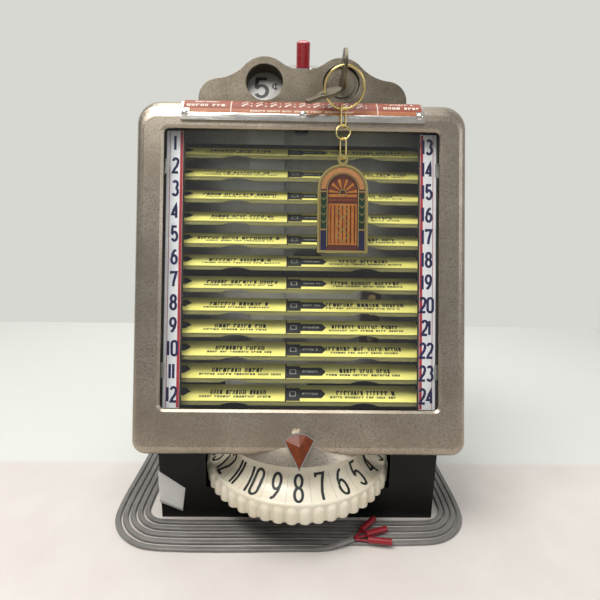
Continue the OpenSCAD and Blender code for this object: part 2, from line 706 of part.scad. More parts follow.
strip_gap = 0.9;
strip_mid = -9.6;                 // where the left and right strips meet
module title_strips() color("#ece57a") on_face() for (k = [0 : rows - 1])
    for (ends = [[-strips_w / 2, strip_mid - strip_gap / 2], [strip_mid + strip_gap / 2, strips_w / 2]])
        translate([(ends[0] + ends[1]) / 2, 0, slot_z0 + k * row_pitch]) across(ends[1] - ends[0])
            polygon([for (p = [[0.4, 0], [slat_run - 0.2, 0], [slat_run - 0.2, strip_t], [0.4, strip_t]])
                [lip_depth, lip_h] + p[0] * [1, slat_rise / slat_run] + (p[1] + eps) * [-slat_rise, slat_run] / norm([slat_rise, slat_run])]);

module title_rack() color("#55564a") on_face() {
    for (s = [-1, 1]) mirror([s < 0 ? 1 : 0, 0, 0]) {
        block([rack_w / 2, number_depth + 1, rack_foot], [rack_w / 2 + web_t, rack_back, rack_top]);
        block([number_in - 1, number_depth + 0.7, rack_foot], [rack_w / 2 + web_t, number_depth + 0.7 + web_t, rack_top]);
        block([rack_w / 2, cover_d + cover_gap + 4, rack_foot + 10], [housing_w / 2 - sheet, cover_d + cover_gap + 4 + web_t, rack_foot + 30]);
        block([rack_w / 2, cover_d + cover_gap + 4, rack_top - 40], [housing_w / 2 - sheet, cover_d + cover_gap + 4 + web_t, rack_top - 20]);
    }
    for (z = [rack_foot, rack_top - 8]) block([-rack_w / 2 - web_t, rack_back - web_t, z], [rack_w / 2 + web_t, rack_back, z + 8]);
    block([-rack_w / 2 - web_t, rack_back - web_t, (rack_foot + rack_top) / 2 - 4],
        [rack_w / 2 + web_t, rack_back, (rack_foot + rack_top) / 2 + 4]);
}

module number_strips() color("#d9d9dc") on_face() for (s = [-1, 1]) mirror([s < 0 ? 1 : 0, 0, 0])
    block([number_in, number_depth, window_z - 1], [number_in + number_w, number_depth + 0.7, window_z + window_h + 1]);

// ---- coin head -----------------------------------------------------------------------------

head_z = cover_h + 2.3;           // foot line of the head along the face
hump = [hole_x, head_z + hole_h];
shoulder = [shoulder_x, head_z];
flank_r = 30;
saddle_r = 25.3;
// Centre of a circle of radius r that touches circles (a, ra) and (b, rb) from outside, on the upper side.
function touching(a, ra, b, rb, r) = let(d = norm(b - a), p = (pow(d, 2) + pow(ra + r, 2) - pow(rb + r, 2)) / (2 * d),
    h = sqrt(pow(ra + r, 2) - pow(p, 2)), u = (b - a) / d) a + p * u + h * [-u[1], u[0]];
flank = touching(hump, hump_r, shoulder, shoulder_r, flank_r);
saddle = [0, hump[1] + sqrt(pow(hump_r + saddle_r, 2) - pow(hole_x, 2))];
saddle_z = saddle[1] - saddle_r;

module head_outline(t) difference() {
    union() {
        for (s = [-1, 1]) {
            translate([s * hump[0], hump[1]]) circle(r = hump_r - t, $fn = 64);
            translate([s * shoulder[0], shoulder[1]]) circle(r = shoulder_r - t, $fn = 64);
        }
        polygon([[-shoulder[0] - shoulder_r + t, head_z - 14], [-shoulder[0] - shoulder_r + t, shoulder[1]], [-shoulder[0], shoulder[1]],
            [-flank[0], flank[1]], [-hump[0], hump[1]], saddle, hump, flank, shoulder,
            [shoulder[0] + shoulder_r - t, shoulder[1]], [shoulder[0] + shoulder_r - t, head_z - 14]]);
    }
    translate(saddle) circle(r = saddle_r + t, $fn = 64);
    for (s = [-1, 1]) translate([s * flank[0], flank[1]]) circle(r = flank_r + t, $fn = 64);
}

lock_floor = 3;                   // depth of the lock's recess
// The head stands on the cover's rounded top and hangs clear over the housing's top.
module head_seat() {
    on_face() cover_form(0, 0, cover_d);
    intersection() {
        on_face() block([-cover_w, cover_d - eps, 0], [cover_w, cover_w, 2 * cover_h]);
        block([-cover_w, -cover_w, 0], [cover_w, cover_w, housing_h + cover_gap]);
    }
}

module coin_head() color(head_grey) difference() {
    union() {
        on_face() difference() {
            backwards(head_depth, head_back) head_outline(0);
            backwards(head_depth + head_wall, head_back - head_wall) head_outline(head_wall);
        }
        on_face() rod_y(-hump[0], hump[1], coin_hole_d + 4, head_depth + 1, head_depth + 14);
        on_face() rod_y(hump[0], hump[1], coin_hole_d + 4, head_depth + 1, head_depth + lock_floor + 3);
        on_face() intersection() {
            for (s = [-1, 1]) translate([s * head_screw_x, head_screw_y, cover_h - 1]) cylinder(d = 9, h = 30);
            backwards(head_depth, head_back) head_outline(eps);
        }
        intersection() {
            at_button() translate([0, 0, -boss_l]) cylinder(d = flange_d, h = boss_l - flange_t);
            translate([-flange_d, -cover_w, housing_h]) cube([2 * flange_d, 2 * cover_w, 60]);
        }
    }
    head_seat();
    head_screw_holes(cover_h - 2, cover_h + 5.5);
    on_face() rod_y(-hump[0], hump[1], coin_hole_d, head_depth - 5, head_depth + 15);
    on_face() rod_y(hump[0], hump[1], coin_hole_d, head_depth - 5, head_depth + lock_floor);
    on_face() rod_y(hump[0], hump[1], lock_d + 0.2, head_depth - 5, head_depth + 15);
    at_button() translate([0, 0, -boss_l - 1]) cylinder(d = barrel_d + 0.2, h = boss_l + 10);
    at_button() translate([0, 0, -boss_l - 1]) cylinder(d = nut_d + 1.5, h = boss_l + 1 - nut_drop);
}

module price_plate() color("#8c8c86") on_face() intersection() {
    rod_y(-hump[0], hump[1], coin_hole_d - 2 * seat, head_depth + 1, head_depth + 14);
    translate([-hump[0], head_depth + 7, hump[1] - 2]) rotate([-price_lean, 0, 0])
        block([-coin_hole_d, -0.75, -coin_hole_d], [coin_hole_d, 0.75, coin_hole_d / 2 - 4]);
}

// ---- coin path ---------------------------------------------------------------------------

chute_w = 27;
chute_y = head_hole_y[0] + 9;
chute_d = 6;
chute_x = -hole_x;
box_h = 32;
box_w = 68;
box_z = [dial_top + 12, dial_top + 12 + box_h];
chute_z = [box_z[1] + 4, housing_h - seat];
chute_slot_z = 180;
chute_foot_z = [chute_z[0] + 20, chute_z[1] - 60];
module coin_chute() color(zinc) difference() {
    union() {
        block([chute_x - chute_w / 2, chute_y, chute_z[0]], [chute_x + chute_w / 2, chute_y + chute_d, chute_z[1]]);
        for (z = chute_foot_z) block([chute_x - 5, chute_y + chute_d - 1, z], [chute_x + 5, plate_y, z + 8]);
    }
    block([chute_x - chute_w / 2 + 1, chute_y + 1, chute_z[0] - 1], [chute_x + chute_w / 2 - 1, chute_y + chute_d - 1, chute_z[1] + 1]);
    block([chute_x + chute_w / 2 - 2, chute_y + 1.6, chute_slot_z - 8], [chute_x + chute_w / 2 + 1, chute_y + chute_d - 1.6, chute_slot_z + 4]);
}

module coin_box() color(zinc) {
    a = [chute_x - box_w / 2, chute_y - 12, box_z[0]];
    b = [chute_x + box_w / 2, plate_y, box_z[1]];
    difference() {
        block(a, b);
        block(a + [1.2, 1.2, 1.2], b + [-1.2, -1.2, 1]);
    }
}

switch_x = chute_x + chute_w / 2 + 8;
module coin_switch() color("#3a2f28") difference() {
    union() {
        block([switch_x, chute_y - 1, chute_slot_z - 9], [switch_x + 22, chute_y + 7, chute_slot_z + 5]);
        block([switch_x + 4, chute_y + 7 - eps, chute_slot_z - 4], [switch_x + 12, plate_y, chute_slot_z + 2]);
    }
    rod_y(switch_x + 3, chute_slot_z, 4.4, chute_y - 2, chute_y + 8);
    block([switch_x - 1, chute_y + 1.6, chute_slot_z - 7], [switch_x + 7, chute_y + chute_d - 1.6, chute_slot_z + 4]);
}

module coin_trip() color(brass_c) {
    rod_y(switch_x + 3, chute_slot_z, 3.6, chute_y - 0.6, chute_y + 6.6);
    block([chute_x + 2, chute_y + 2.4, chute_slot_z - 0.6], [switch_x + 3, chute_y + chute_d - 2.4, chute_slot_z + 0.6]);
}

// ---- button --------------------------------------------------------------------------------

flange_t = 3;
barrel_d = 13;
barrel_l = 20;
cap_in = 8;                       // length of the button inside its bushing
shoulder_t = 2.5;
rod_d = 4;
nut_d = 17;
boss_l = 22;
nut_drop = 12;                    // depth of the nut's top below the flange's top
button_y = top_y + 6.1;
button_z = housing_h + 31.8;
module at_button() translate([0, button_y, button_z]) rotate([button_tilt, 0, 0]) children();

module button_bushing() color("#cfc8b8") at_button() difference() {
    union() {
        translate([0, 0, -flange_t]) cylinder(d1 = flange_d, d2 = flange_d - 1.6, h = flange_t);
        translate([0, 0, -barrel_l]) cylinder(d = barrel_d, h = barrel_l - flange_t + eps);
    }
    translate([0, 0, -barrel_l + shoulder_t]) cylinder(d = button_d + 0.2, h = barrel_l);
    translate([0, 0, -barrel_l - 1]) cylinder(d = rod_d + 0.2, h = barrel_l);
}

module bushing_nut() color(zinc) at_button() translate([0, 0, -nut_drop - 3]) difference() {
    cylinder(d = nut_d, h = 3, $fn = 6);
    translate([0, 0, -1]) cylinder(d = barrel_d, h = 6);
}

module push_button() color("#8f0d18") at_button() {
    translate([0, 0, -cap_in]) cylinder(d = button_d, h = cap_in + button_out - 1.6);
    translate([0, 0, button_out - 1.6]) intersection() {
        cylinder(d = button_d, h = 1.6);
        translate([0, 0, 1.6 - 9]) sphere(r = 9, $fn = 64);
    }
    translate([0, 0, -barrel_l - rod_out]) cylinder(d = rod_d, h = barrel_l + rod_out - cap_in + eps);
}
rod_out = 8.5;

module button_clip() color(zinc) at_button() translate([0, 0, -barrel_l - seat - 1]) difference() {
    cylinder(d = 9, h = 1);
    translate([0, 0, -1]) cylinder(d = rod_d, h = 3);
}

module button_spring() color(zinc) at_button() translate([0, 0, -barrel_l + shoulder_t + 0.4])
    spring(3.4, 0.7, barrel_l - shoulder_t - cap_in - 0.8, 4);

module button_switch() color("#3a2f28") difference() {
    union() {
        at_button() translate([-7, -4, -barrel_l - rod_out - button_travel - 9]) cube([14, 8, 8]);
        at_button() translate([-3, -1, -barrel_l - rod_out - button_travel - 1 - eps]) cube([6, 2, 0.6]);
        block([-5, button_y + 14, housing_h - 12], [5, plate_y, housing_h - 6]);
    }
    block([-20, plate_y, 0], [20, plate_y + 30, housing_h]);
}

// ---- lock and keys -------------------------------------------------------------------------

lock_face = head_depth + 1.2;
barrel_end = cam_y - 0.6;
module at_lock() translate([hump[0], 0, hump[1]]) children();

module lock_body() color("#b9b2a4") on_face() at_lock() difference() {
    union() {
        rod_y(0, 0, lock_d, lock_face, barrel_end - 3);
        rod_y(0, 0, coin_hole_d - 1, lock_face + 0.6, head_depth + lock_floor);
    }
    rod_y(0, 0, plug_d + 2 * shaft_gap, lock_face - 1, barrel_end);
}

module lock_nut() color(zinc) on_face() at_lock() difference() {
    translate([0, head_depth + lock_floor + 3, 0]) rotate([-90, 0, 0]) cylinder(d = 27, h = 4, $fn = 6);
    rod_y(0, 0, lock_d, head_depth, barrel_end);
}

module lock_plug() color("#c8c2b2") on_face() at_lock() difference() {
    union() {
        rod_y(0, 0, plug_d, lock_face, barrel_end);
        rod_y(0, 0, 6, barrel_end - eps, cam_y + 3);
    }
    block([-key_t / 2 - 0.1, lock_face - 1, -4.1], [key_t / 2 + 0.1, lock_face + 14, 4.1]);
}

cam_rest = 15;                    // degrees below level that the cam points when the lock is open
module lock_cam() color(zinc) on_face() at_lock() rotate([0, cam_rest, 0]) difference() {
    union() {
        rod_y(0, 0, 12, cam_y, cam_y + 2);
        backwards(cam_y, cam_y + 2) polygon([[0, -5], [cam_len, -2], [cam_len, 2], [0, 5]]);
    }
    rod_y(0, 0, 6, cam_y - 1, cam_y + 4);
}

key_t = 2;
key_neck = 8;                     // bare length of the key between the lock and its bow
bow_y = lock_face - key_neck - bow_d / 2;
ring_wire = 1.5;
eye_d = 5;
eye_y = bow_y - bow_d / 2 + 5;
// A flat key in the y-z plane with its blade running back from depth 0.
module flat_key(blade) {
    difference() {
        union() {
            translate([-key_t / 2, -key_neck - bow_d / 2, 0]) rotate([0, 90, 0]) cylinder(d = bow_d, h = key_t);
            block([-key_t / 2, -key_neck - 2, -4], [key_t / 2, blade, 4]);
        }
        translate([-key_t, eye_y - lock_face, 0]) rotate([0, 90, 0]) cylinder(d = eye_d, h = 2 * key_t);
        for (i = [0 : 3]) translate([-key_t, 3 + 3 * i, 4 + 0.6 * (i % 2)]) rotate([0, 90, 0]) cylinder(d = 2.6, h = 2 * key_t, $fn = 24);
    }
}
module key() color("#4a443a") on_face() at_lock() translate([0, lock_face, 0]) flat_key(13.5);

ring_r = (ring_d - ring_wire) / 2;
link_wire = 1;
link_w = 5.8;
link_turn = 45;                   // degrees that the long links turn out of the jump ring's plane
ring_drop = eye_d / 2 - ring_wire / 2 - 0.2;
// The ring hangs from the key's eye, and the chain at its foot rests on the plate below.
chain_y = -plate_proud - plate_t - link_w / 2 - seat;
ring_tilt = asin((chain_y - eye_y) / (2 * ring_r));
module at_ring() on_face() translate([hump[0], eye_y, hump[1] - ring_drop]) children();
module split_ring() color("#d9c75a") at_ring() rotate([ring_tilt, 0, 0]) translate([0, 0, -ring_r + 0.1]) rotate([90, 0, 0])
    rotate_extrude($fn = 64) translate([ring_r, 0]) circle(d = ring_wire, $fn = 16);

spare_fall = 20;                  // degrees below level of the spare key's place on the ring
spare_yaw = 20;                   // degrees that its blade stands forward of the ring
spare_roll = 11;                  // degrees that its front edge drops
spare_t = 2;
spare_eye_d = 4.4;
spare_bow_d = 16;
spare_bow_x = 4;                  // distance of the bow's centre from its eye
spare_blade_w = 6.4;
spare_blade_l = 12.8;
spare_hang = 1;                   // play taken up by the spare key's eye on the wire
// The spare key hangs on the left of the ring, its flat side nearly square to the wire.
module spare_key() color("#8d8062") at_ring() rotate([ring_tilt, 0, 0]) translate([0, 0, -ring_r + 0.1])
    rotate([0, -spare_fall, 0]) translate([-ring_r - spare_hang, 0, 0]) rotate([spare_roll, 0, spare_yaw])
        translate([0, 0, -spare_t / 2]) difference() {
            union() {
                translate([spare_bow_x, 0, 0]) cylinder(d = spare_bow_d, h = spare_t);
                translate([-spare_blade_l, -spare_blade_w / 2, 0])
                    cube([spare_blade_l + spare_bow_x, spare_blade_w, spare_t]);
            }
            translate([0, 0, -1]) cylinder(d = spare_eye_d, h = spare_t + 2);
        }

chain_top = hump[1] - ring_drop - 2 * ring_r * cos(ring_tilt);
fob_t = 3;
link_l = 15;
jump_d = 10;
link_top = ring_wire + link_wire + 0.1;     // top of the first link above the ring's foot
link_step = link_l - 2 * link_wire - 0.1;
jump_step = jump_d + 0.4 - 2 * link_wire - 0.1;
eye_t = 1;
fob_eye_d = 3.6;
fob_play = 0.6;                   // the links cross at an angle, so the eye sits this much high
chain_drop = link_step + jump_step + link_l - link_top - link_wire - fob_play;
module key_chain() color("#d9c75a") on_face() translate([hump[0], chain_y, chain_top]) {
    translate([0, 0, link_top]) rotate([0, 0, link_turn]) link(link_w, link_l, link_wire);
    translate([0, 0, link_top - link_step]) link(jump_d, jump_d + 0.4, link_wire);
    translate([0, 0, link_top - link_step - jump_step]) rotate([0, 0, -link_turn]) link(link_w, link_l, link_wire);
}

module fob_outline(t) {
    r = fob_w / 2 - t;
    translate([0, -fob_w / 2]) circle(r = r, $fn = 64);
    translate([-r, -fob_h + t]) square([2 * r, fob_h - fob_w / 2 - t]);
}
// The fob's frame starts at the top of the hole in its eye.
module on_fob() on_face() translate([hump[0], chain_y, chain_top - chain_drop]) children();
module fob() color("#caa93e") on_fob() {
    translate([0, -fob_t / 2, -fob_eye_d - 1.4]) difference() {
        backwards(0, fob_t) fob_outline(0);
        backwards(-1, 0.6) fob_outline(1.4);
        rod_y(0, 1.4 + fob_eye_d / 2, fob_eye_d, -1, fob_t + 1);
    }
    difference() {
        rod_y(0, -fob_eye_d / 2, fob_eye_d + 3.4, -eye_t / 2, eye_t / 2);
        rod_y(0, -fob_eye_d / 2, fob_eye_d, -2, 2);
    }
}
module fob_enamel() color("#c8672a") on_fob() translate([0, -fob_t / 2, -fob_eye_d - 1.4])
    backwards(0.1, 0.6) fob_outline(1.4);

// ---- wiring --------------------------------------------------------------------------------

strip_at = [62, plate_y, 110];
poles = 4;
module terminal_strip() color(phenolic) translate(strip_at) difference() {
    translate([-8, -9, -4]) cube([16, 9, poles * 12]);
    for (i = [0 : poles - 1]) rod_y(0, 2 + 12 * i, 3, -10, -4);
}
module terminal_screws() color(brass_c) translate(strip_at) for (i = [0 : poles - 1]) {
    rod_y(0, 2 + 12 * i, 3, -9, -4);
    rod_y(0, 2 + 12 * i, 6, -10.6, -9);
}

section = [for (p = [[1, 0], [0.5, 1], [-0.5, 1], [-1, 0], [-0.5, -1], [0.5, -1]])
    [p[0] * cable_w / 2, p[1] * cable_t / 2]];
lie = cable_t / 2;                // height of the cable's centre where it lies
coil_left = 111;                  // the innermost loop's distance to the left, and its growth a loop
left_grow = 5;
coil_right = 106;
right_grow = 4.3;
coil_front = 56.5;
coil_rear = 72.5;
depth_grow = 6.3;
coil_corner = 14;                 // corner radius of the innermost loop, and its growth a loop
corner_grow = 6;
coil_turns = 4.5;
loop_steps = 24;
// A point of the coil after k turns. Each loop is a rounded rectangle from the middle of its rear:
// in each quarter one point lies mid-side and five lie round the corner.
function coil_side(k, a) = a == 0 ? coil_right + right_grow * k : a == 90 ? coil_rear + depth_grow * k
    : a == 180 ? -coil_left - left_grow * k : -coil_front - depth_grow * k;
function coil_point(i) = let(k = i / loop_steps, j = i % loop_steps, q = floor(j / 6), t = j % 6,
    r = coil_corner + corner_grow * k, a = 90 + 90 * q + 22.5 * (t - 1),
    x = q < 2 ? coil_side(k, 180) : coil_side(k, 0), y = q == 0 || q == 3 ? coil_side(k, 90) : coil_side(k, 270))
    t > 0 ? [x - sign(x) * r + r * cos(a), y - sign(y) * r + r * sin(a), lie]
    : q % 2 == 0 ? [0, coil_side(k, q == 0 ? 90 : 270), lie] : [coil_side(k, q == 1 ? 180 : 0), 8, lie];
coil_path = [for (i = [0 : coil_turns * loop_steps]) coil_point(i)];

lead_path = [
    [40, 55, 9], [40, 58, 9], [39, 62, 8], [36, 66, 6.4], [31, 69.5, 4.6],
    [25, 71.6, 2.8], [18, 72.4, 1.5], [10, 72.5, 1.2], [4, 72.5, 1.2], [0, 72.5, 1.2]
];
tail_path = [
    [0, -84.85, 1.2], [4, -84.85, 1.2], [12, -84.8, 1.2], [20, -84.2, 1.6], [27, -82.8, 2.8],
    [33, -80.9, 3.8], [38, -79, 3.8]
];

module cable_lead() color("#9a9a98") level_tube(lead_path, section);
module cable_coil() color("#9a9a98") level_tube(coil_path, section);
module cable_tail() color("#9a9a98") level_tube(tail_path, section);

crimp_d = 4.2;
crimp_l = 16;
crimp_turns = [-8, 20, 48];
core_l = 10;
// Each core ends in an insulated crimp connector, which lies on the loops.
module cable_fittings() color("#a3202c") translate(tail_path[len(tail_path) - 1]) for (a = crimp_turns) rotate([0, 0, a]) {
    translate([1.4, 0, 0]) rotate([0, 90, 0]) cylinder(d = 1.6, h = core_l, $fn = 16);
    translate([core_l, 0, crimp_d / 2 - lie]) rotate([0, 90, 0]) cylinder(d = crimp_d, h = crimp_l);
}

// ---- assembly -----------------------------------------------------------------------------

housing();
hinge_housing_leaf();
hinge_pin();
title_rack();
title_slats();
title_strips();
number_strips();
chassis_plate();
bearing_bracket();
bearing_bush();
contact_disc();
contact_studs();
detent_spring();
coin_chute();
coin_box();
coin_switch();
coin_head();
price_plate();
lock_body();
lock_nut();
button_bushing();
bushing_nut();
button_spring();
button_switch();
terminal_strip();
terminal_screws();
cable_grommet();
chassis_screws();
front_cover();
window_glass();
glass_clips();
cover_screws();
instruction_plate();
drive_screws();
pointer_bezel();
pointer_jewel();
hinge_cover_leaf();
strike_plate();
dial();
dial_shaft();
dial_nut();
detent_wheel();
contact_wiper();
detent_lever();
detent_roller();
push_button();
button_clip();
lock_plug();
lock_cam();
key();
split_ring();
spare_key();
key_chain();
fob();
fob_enamel();
coin_trip();
cable_lead();
cable_coil();
cable_tail();
cable_fittings();
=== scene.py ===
"""Looks of the song selector: finishes, dial, printed cards, plate, fob, cable and paper tag.

The part's sizes are in millimetres in its own frame, and points turn into metres as they are made.
Sizes of the stage and the lights are in metres.
"""
import json
import math
import random

import bpy
from mathutils import Matrix, Vector


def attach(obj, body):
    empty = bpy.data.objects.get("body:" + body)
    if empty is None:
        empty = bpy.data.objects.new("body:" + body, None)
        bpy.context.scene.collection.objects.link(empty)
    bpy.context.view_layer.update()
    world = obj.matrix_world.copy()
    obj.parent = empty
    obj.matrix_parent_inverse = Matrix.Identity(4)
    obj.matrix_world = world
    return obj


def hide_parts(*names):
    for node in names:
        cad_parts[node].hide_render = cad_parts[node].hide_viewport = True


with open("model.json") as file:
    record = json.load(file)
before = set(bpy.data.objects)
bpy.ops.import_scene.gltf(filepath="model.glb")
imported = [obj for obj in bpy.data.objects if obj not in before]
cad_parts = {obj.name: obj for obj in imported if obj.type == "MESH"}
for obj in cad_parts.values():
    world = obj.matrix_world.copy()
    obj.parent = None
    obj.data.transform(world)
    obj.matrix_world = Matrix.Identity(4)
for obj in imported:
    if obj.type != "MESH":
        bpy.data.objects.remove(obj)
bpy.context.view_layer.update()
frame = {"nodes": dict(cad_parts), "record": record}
MM = 0.001

# ---- sizes that the source also uses ----------------------------------------------------------

LEAN = math.radians(14.5)
COVER_REAR = 24.4                  # depth of the plane where the cover meets the housing
FRONT_Y = -53.0                    # the housing's front wall
FRONT_H = 59.0                     # its height
FACE_Y = FRONT_Y - COVER_REAR * math.cos(LEAN)
FACE_Z = FRONT_H + COVER_REAR * math.sin(LEAN)
DIAL_Y = -23.6                     # the dial's axis
HOLE_X = 26.5                      # distance of the coin window and the lock from the middle
WINDOW_Z = 30.3                    # the title window's sill, up the face
ROWS = 12
ROW_PITCH = 186.9 / ROWS
LIP_DEPTH = 15.5                   # depth of the slats' rolled lips
LIP_H = 2.4
SLAT_RUN = 13.8
SLAT_RISE = 9.4
STRIP_T = 0.4                      # thickness of a title strip

random.seed(7)


def face_mm(x, y, z):
    """A point of the leaning face's frame: x across, y behind it, z up along it."""
    c, s = math.cos(LEAN), math.sin(LEAN)
    return Vector((x, FACE_Y + c * y + s * z, FACE_Z - s * y + c * z)) * MM


# ---- camera -----------------------------------------------------------------------------------

CAMERA_AT = Vector((-5.5, -341.2, 233.6)) * MM
CAMERA_PITCH, CAMERA_YAW, CAMERA_ROLL = (math.radians(a) for a in (13.3, 0.98, -0.91))
CAMERA_LENS = 27.06
CAMERA_SENSOR = 36                 # width
CAMERA_NEAR = 0.01                 # metres


def make_camera():
    data = bpy.data.cameras.new("camera")
    data.lens = CAMERA_LENS
    data.sensor_width = CAMERA_SENSOR
    data.clip_start = CAMERA_NEAR
    obj = bpy.data.objects.new("camera", data)
    bpy.context.scene.collection.objects.link(obj)
    turn = (Matrix.Rotation(-CAMERA_YAW, 4, "Z")
            @ Matrix.Rotation(math.pi / 2 - CAMERA_PITCH, 4, "X")
            @ Matrix.Rotation(-CAMERA_ROLL, 4, "Z"))
    obj.matrix_world = Matrix.Translation(CAMERA_AT) @ turn
    bpy.context.scene.camera = obj


# ---- shader nodes -----------------------------------------------------------------------------


def add(tree, kind, links=(), **values):
    """A node with its inputs and settings set by name. links are (input, socket) pairs."""
    node = tree.nodes.new("ShaderNode" + kind)
    for key, value in values.items():
        name = key.replace("_", " ")
        if name in node.inputs:
            node.inputs[name].default_value = value
        else:
            setattr(node, key, value)
    for name, socket in links:
        tree.links.new(socket, node.inputs[name])
    return node


def ramp(tree, socket, stops):
    """A colour ramp through (position, colour) stops."""
    node = add(tree, "ValToRGB", [("Fac", socket)])
    bar = node.color_ramp
    while len(bar.elements) < len(stops):
        bar.elements.new(0.5)
    for element, (at, colour) in zip(bar.elements, stops):
        element.position = at
        element.color = (*colour, 1)
    return node.outputs["Color"]


def mix(tree, share, base, colour):
    """Lays a plain colour over a base socket, as much as the share socket says."""
    node = add(tree, "Mix", data_type="RGBA")
    share_in, base_in, colour_in = (next(s for s in node.inputs if s.name == name and s.enabled)
                                    for name in ("Factor", "A", "B"))
    tree.links.new(share, share_in)
    tree.links.new(base, base_in)
    colour_in.default_value = (*colour, 1)
    return next(s for s in node.outputs if s.enabled)


def overpaint(tree, share, colour):
    """Lays a colour over a finish, as much as the share socket says."""
    base = tree.nodes["Principled BSDF"].inputs["Base Color"]
    tree.links.new(mix(tree, share, base.links[0].from_socket, colour), base)


def noise(tree, coord, scale, detail, stretch=None):
    if stretch:
        coord = add(tree, "Mapping", [("Vector", coord)], Scale=stretch).outputs["Vector"]
    node = add(tree, "TexNoise", [("Vector", coord)], Scale=scale, Detail=detail, Roughness=0.55)
    return node.outputs["Fac"]


def level(tree, socket, low, high, out_low, out_high):
    """Maps a socket's values from low to high onto out_low to out_high."""
    node = add(tree, "MapRange", [("Value", socket)])
    limits = {"From Min": low, "From Max": high, "To Min": out_low, "To Max": out_high}
    for name, value in limits.items():
        node.inputs[name].default_value = value
    return node.outputs["Result"]


def blend_output(tree, share, first, second):
    """Sends a mix of two shader sockets to the material's output."""
    blend = add(tree, "MixShader", [("Fac", share), (1, first), (2, second)])
    tree.links.new(blend.outputs["Shader"], tree.nodes["Material Output"].inputs["Surface"])


PATCH_EDGE = (0.35, 0.65)          # noise where the second colour ends and the first starts
GRAIN_RANGE = (0.3, 0.7)           # noise that the roughness follows
GRAIN_RELIEF = 0.4 * MM
WEAR_GRAIN = 0.10                  # how much the grain breaks up a worn edge
WEAR_RANGE = (0.99, 1.03)
BLACK, WHITE = (0, 0, 0), (1, 1, 1)


def worn_edges(tree, base, fine, rounded, colour):
    """Shows a colour where the rounded normal leaves the plain one, as along worn edges."""
    plain = add(tree, "NewGeometry").outputs["Normal"]
    agree = add(tree, "VectorMath", [(0, plain), (1, rounded)], operation="DOT_PRODUCT")
    rough = add(tree, "Math", [(0, fine), (2, agree.outputs["Value"])], operation="MULTIPLY_ADD")
    rough.inputs[1].default_value = WEAR_GRAIN
    return mix(tree, level(tree, rough.outputs[0], *WEAR_RANGE, 1.0, 0.0), base, colour)


def surface(name, colour, rough, metallic=0.0, second=None, patch=45, grain=1400, spread=0.08,
            bump=0.03, spots=None, spot_size=260, spot_edge=(0.60, 0.68), stretch=None,
            round_edge=0.0, edge=None, **sockets):
    """A finish with patches of a second colour, fine grain, spots and worn edges.

    patch, grain and spot_size are scales of noise, per metre. The grain is in roughness and bump.
    edge is the colour of worn edges, and takes a round_edge, which is in millimetres.
    """
    made = bpy.data.materials.new(name)
    made.use_nodes = True
    tree = made.node_tree
    shader = tree.nodes["Principled BSDF"]
    coord = add(tree, "TexCoord").outputs["Object"]
    second = second or tuple(c * 0.8 for c in colour)
    base = ramp(tree, noise(tree, coord, patch, 5.0), list(zip(PATCH_EDGE, (second, colour))))
    fine = noise(tree, coord, grain, 3.0, stretch)
    if spots:
        stops = list(zip(spot_edge, (BLACK, WHITE)))
        base = mix(tree, ramp(tree, noise(tree, coord, spot_size, 3.0), stops), base, spots)
    normal = None
    if round_edge:
        normal = add(tree, "Bevel", samples=4, Radius=round_edge * MM).outputs["Normal"]
    if edge:
        base = worn_edges(tree, base, fine, normal, edge)
    tree.links.new(base, shader.inputs["Base Color"])
    gloss = level(tree, fine, *GRAIN_RANGE, max(rough - spread, 0.02), rough + spread)
    tree.links.new(gloss, shader.inputs["Roughness"])
    relief = add(tree, "Bump", [("Height", fine)], Strength=bump, Distance=GRAIN_RELIEF)
    if normal:
        tree.links.new(normal, relief.inputs["Normal"])
    tree.links.new(relief.outputs["Normal"], shader.inputs["Normal"])
    shader.inputs["Metallic"].default_value = metallic
    for key, value in sockets.items():
        shader.inputs[key.replace("_", " ")].default_value = value
    return made


# ---- finishes ---------------------------------------------------------------------------------

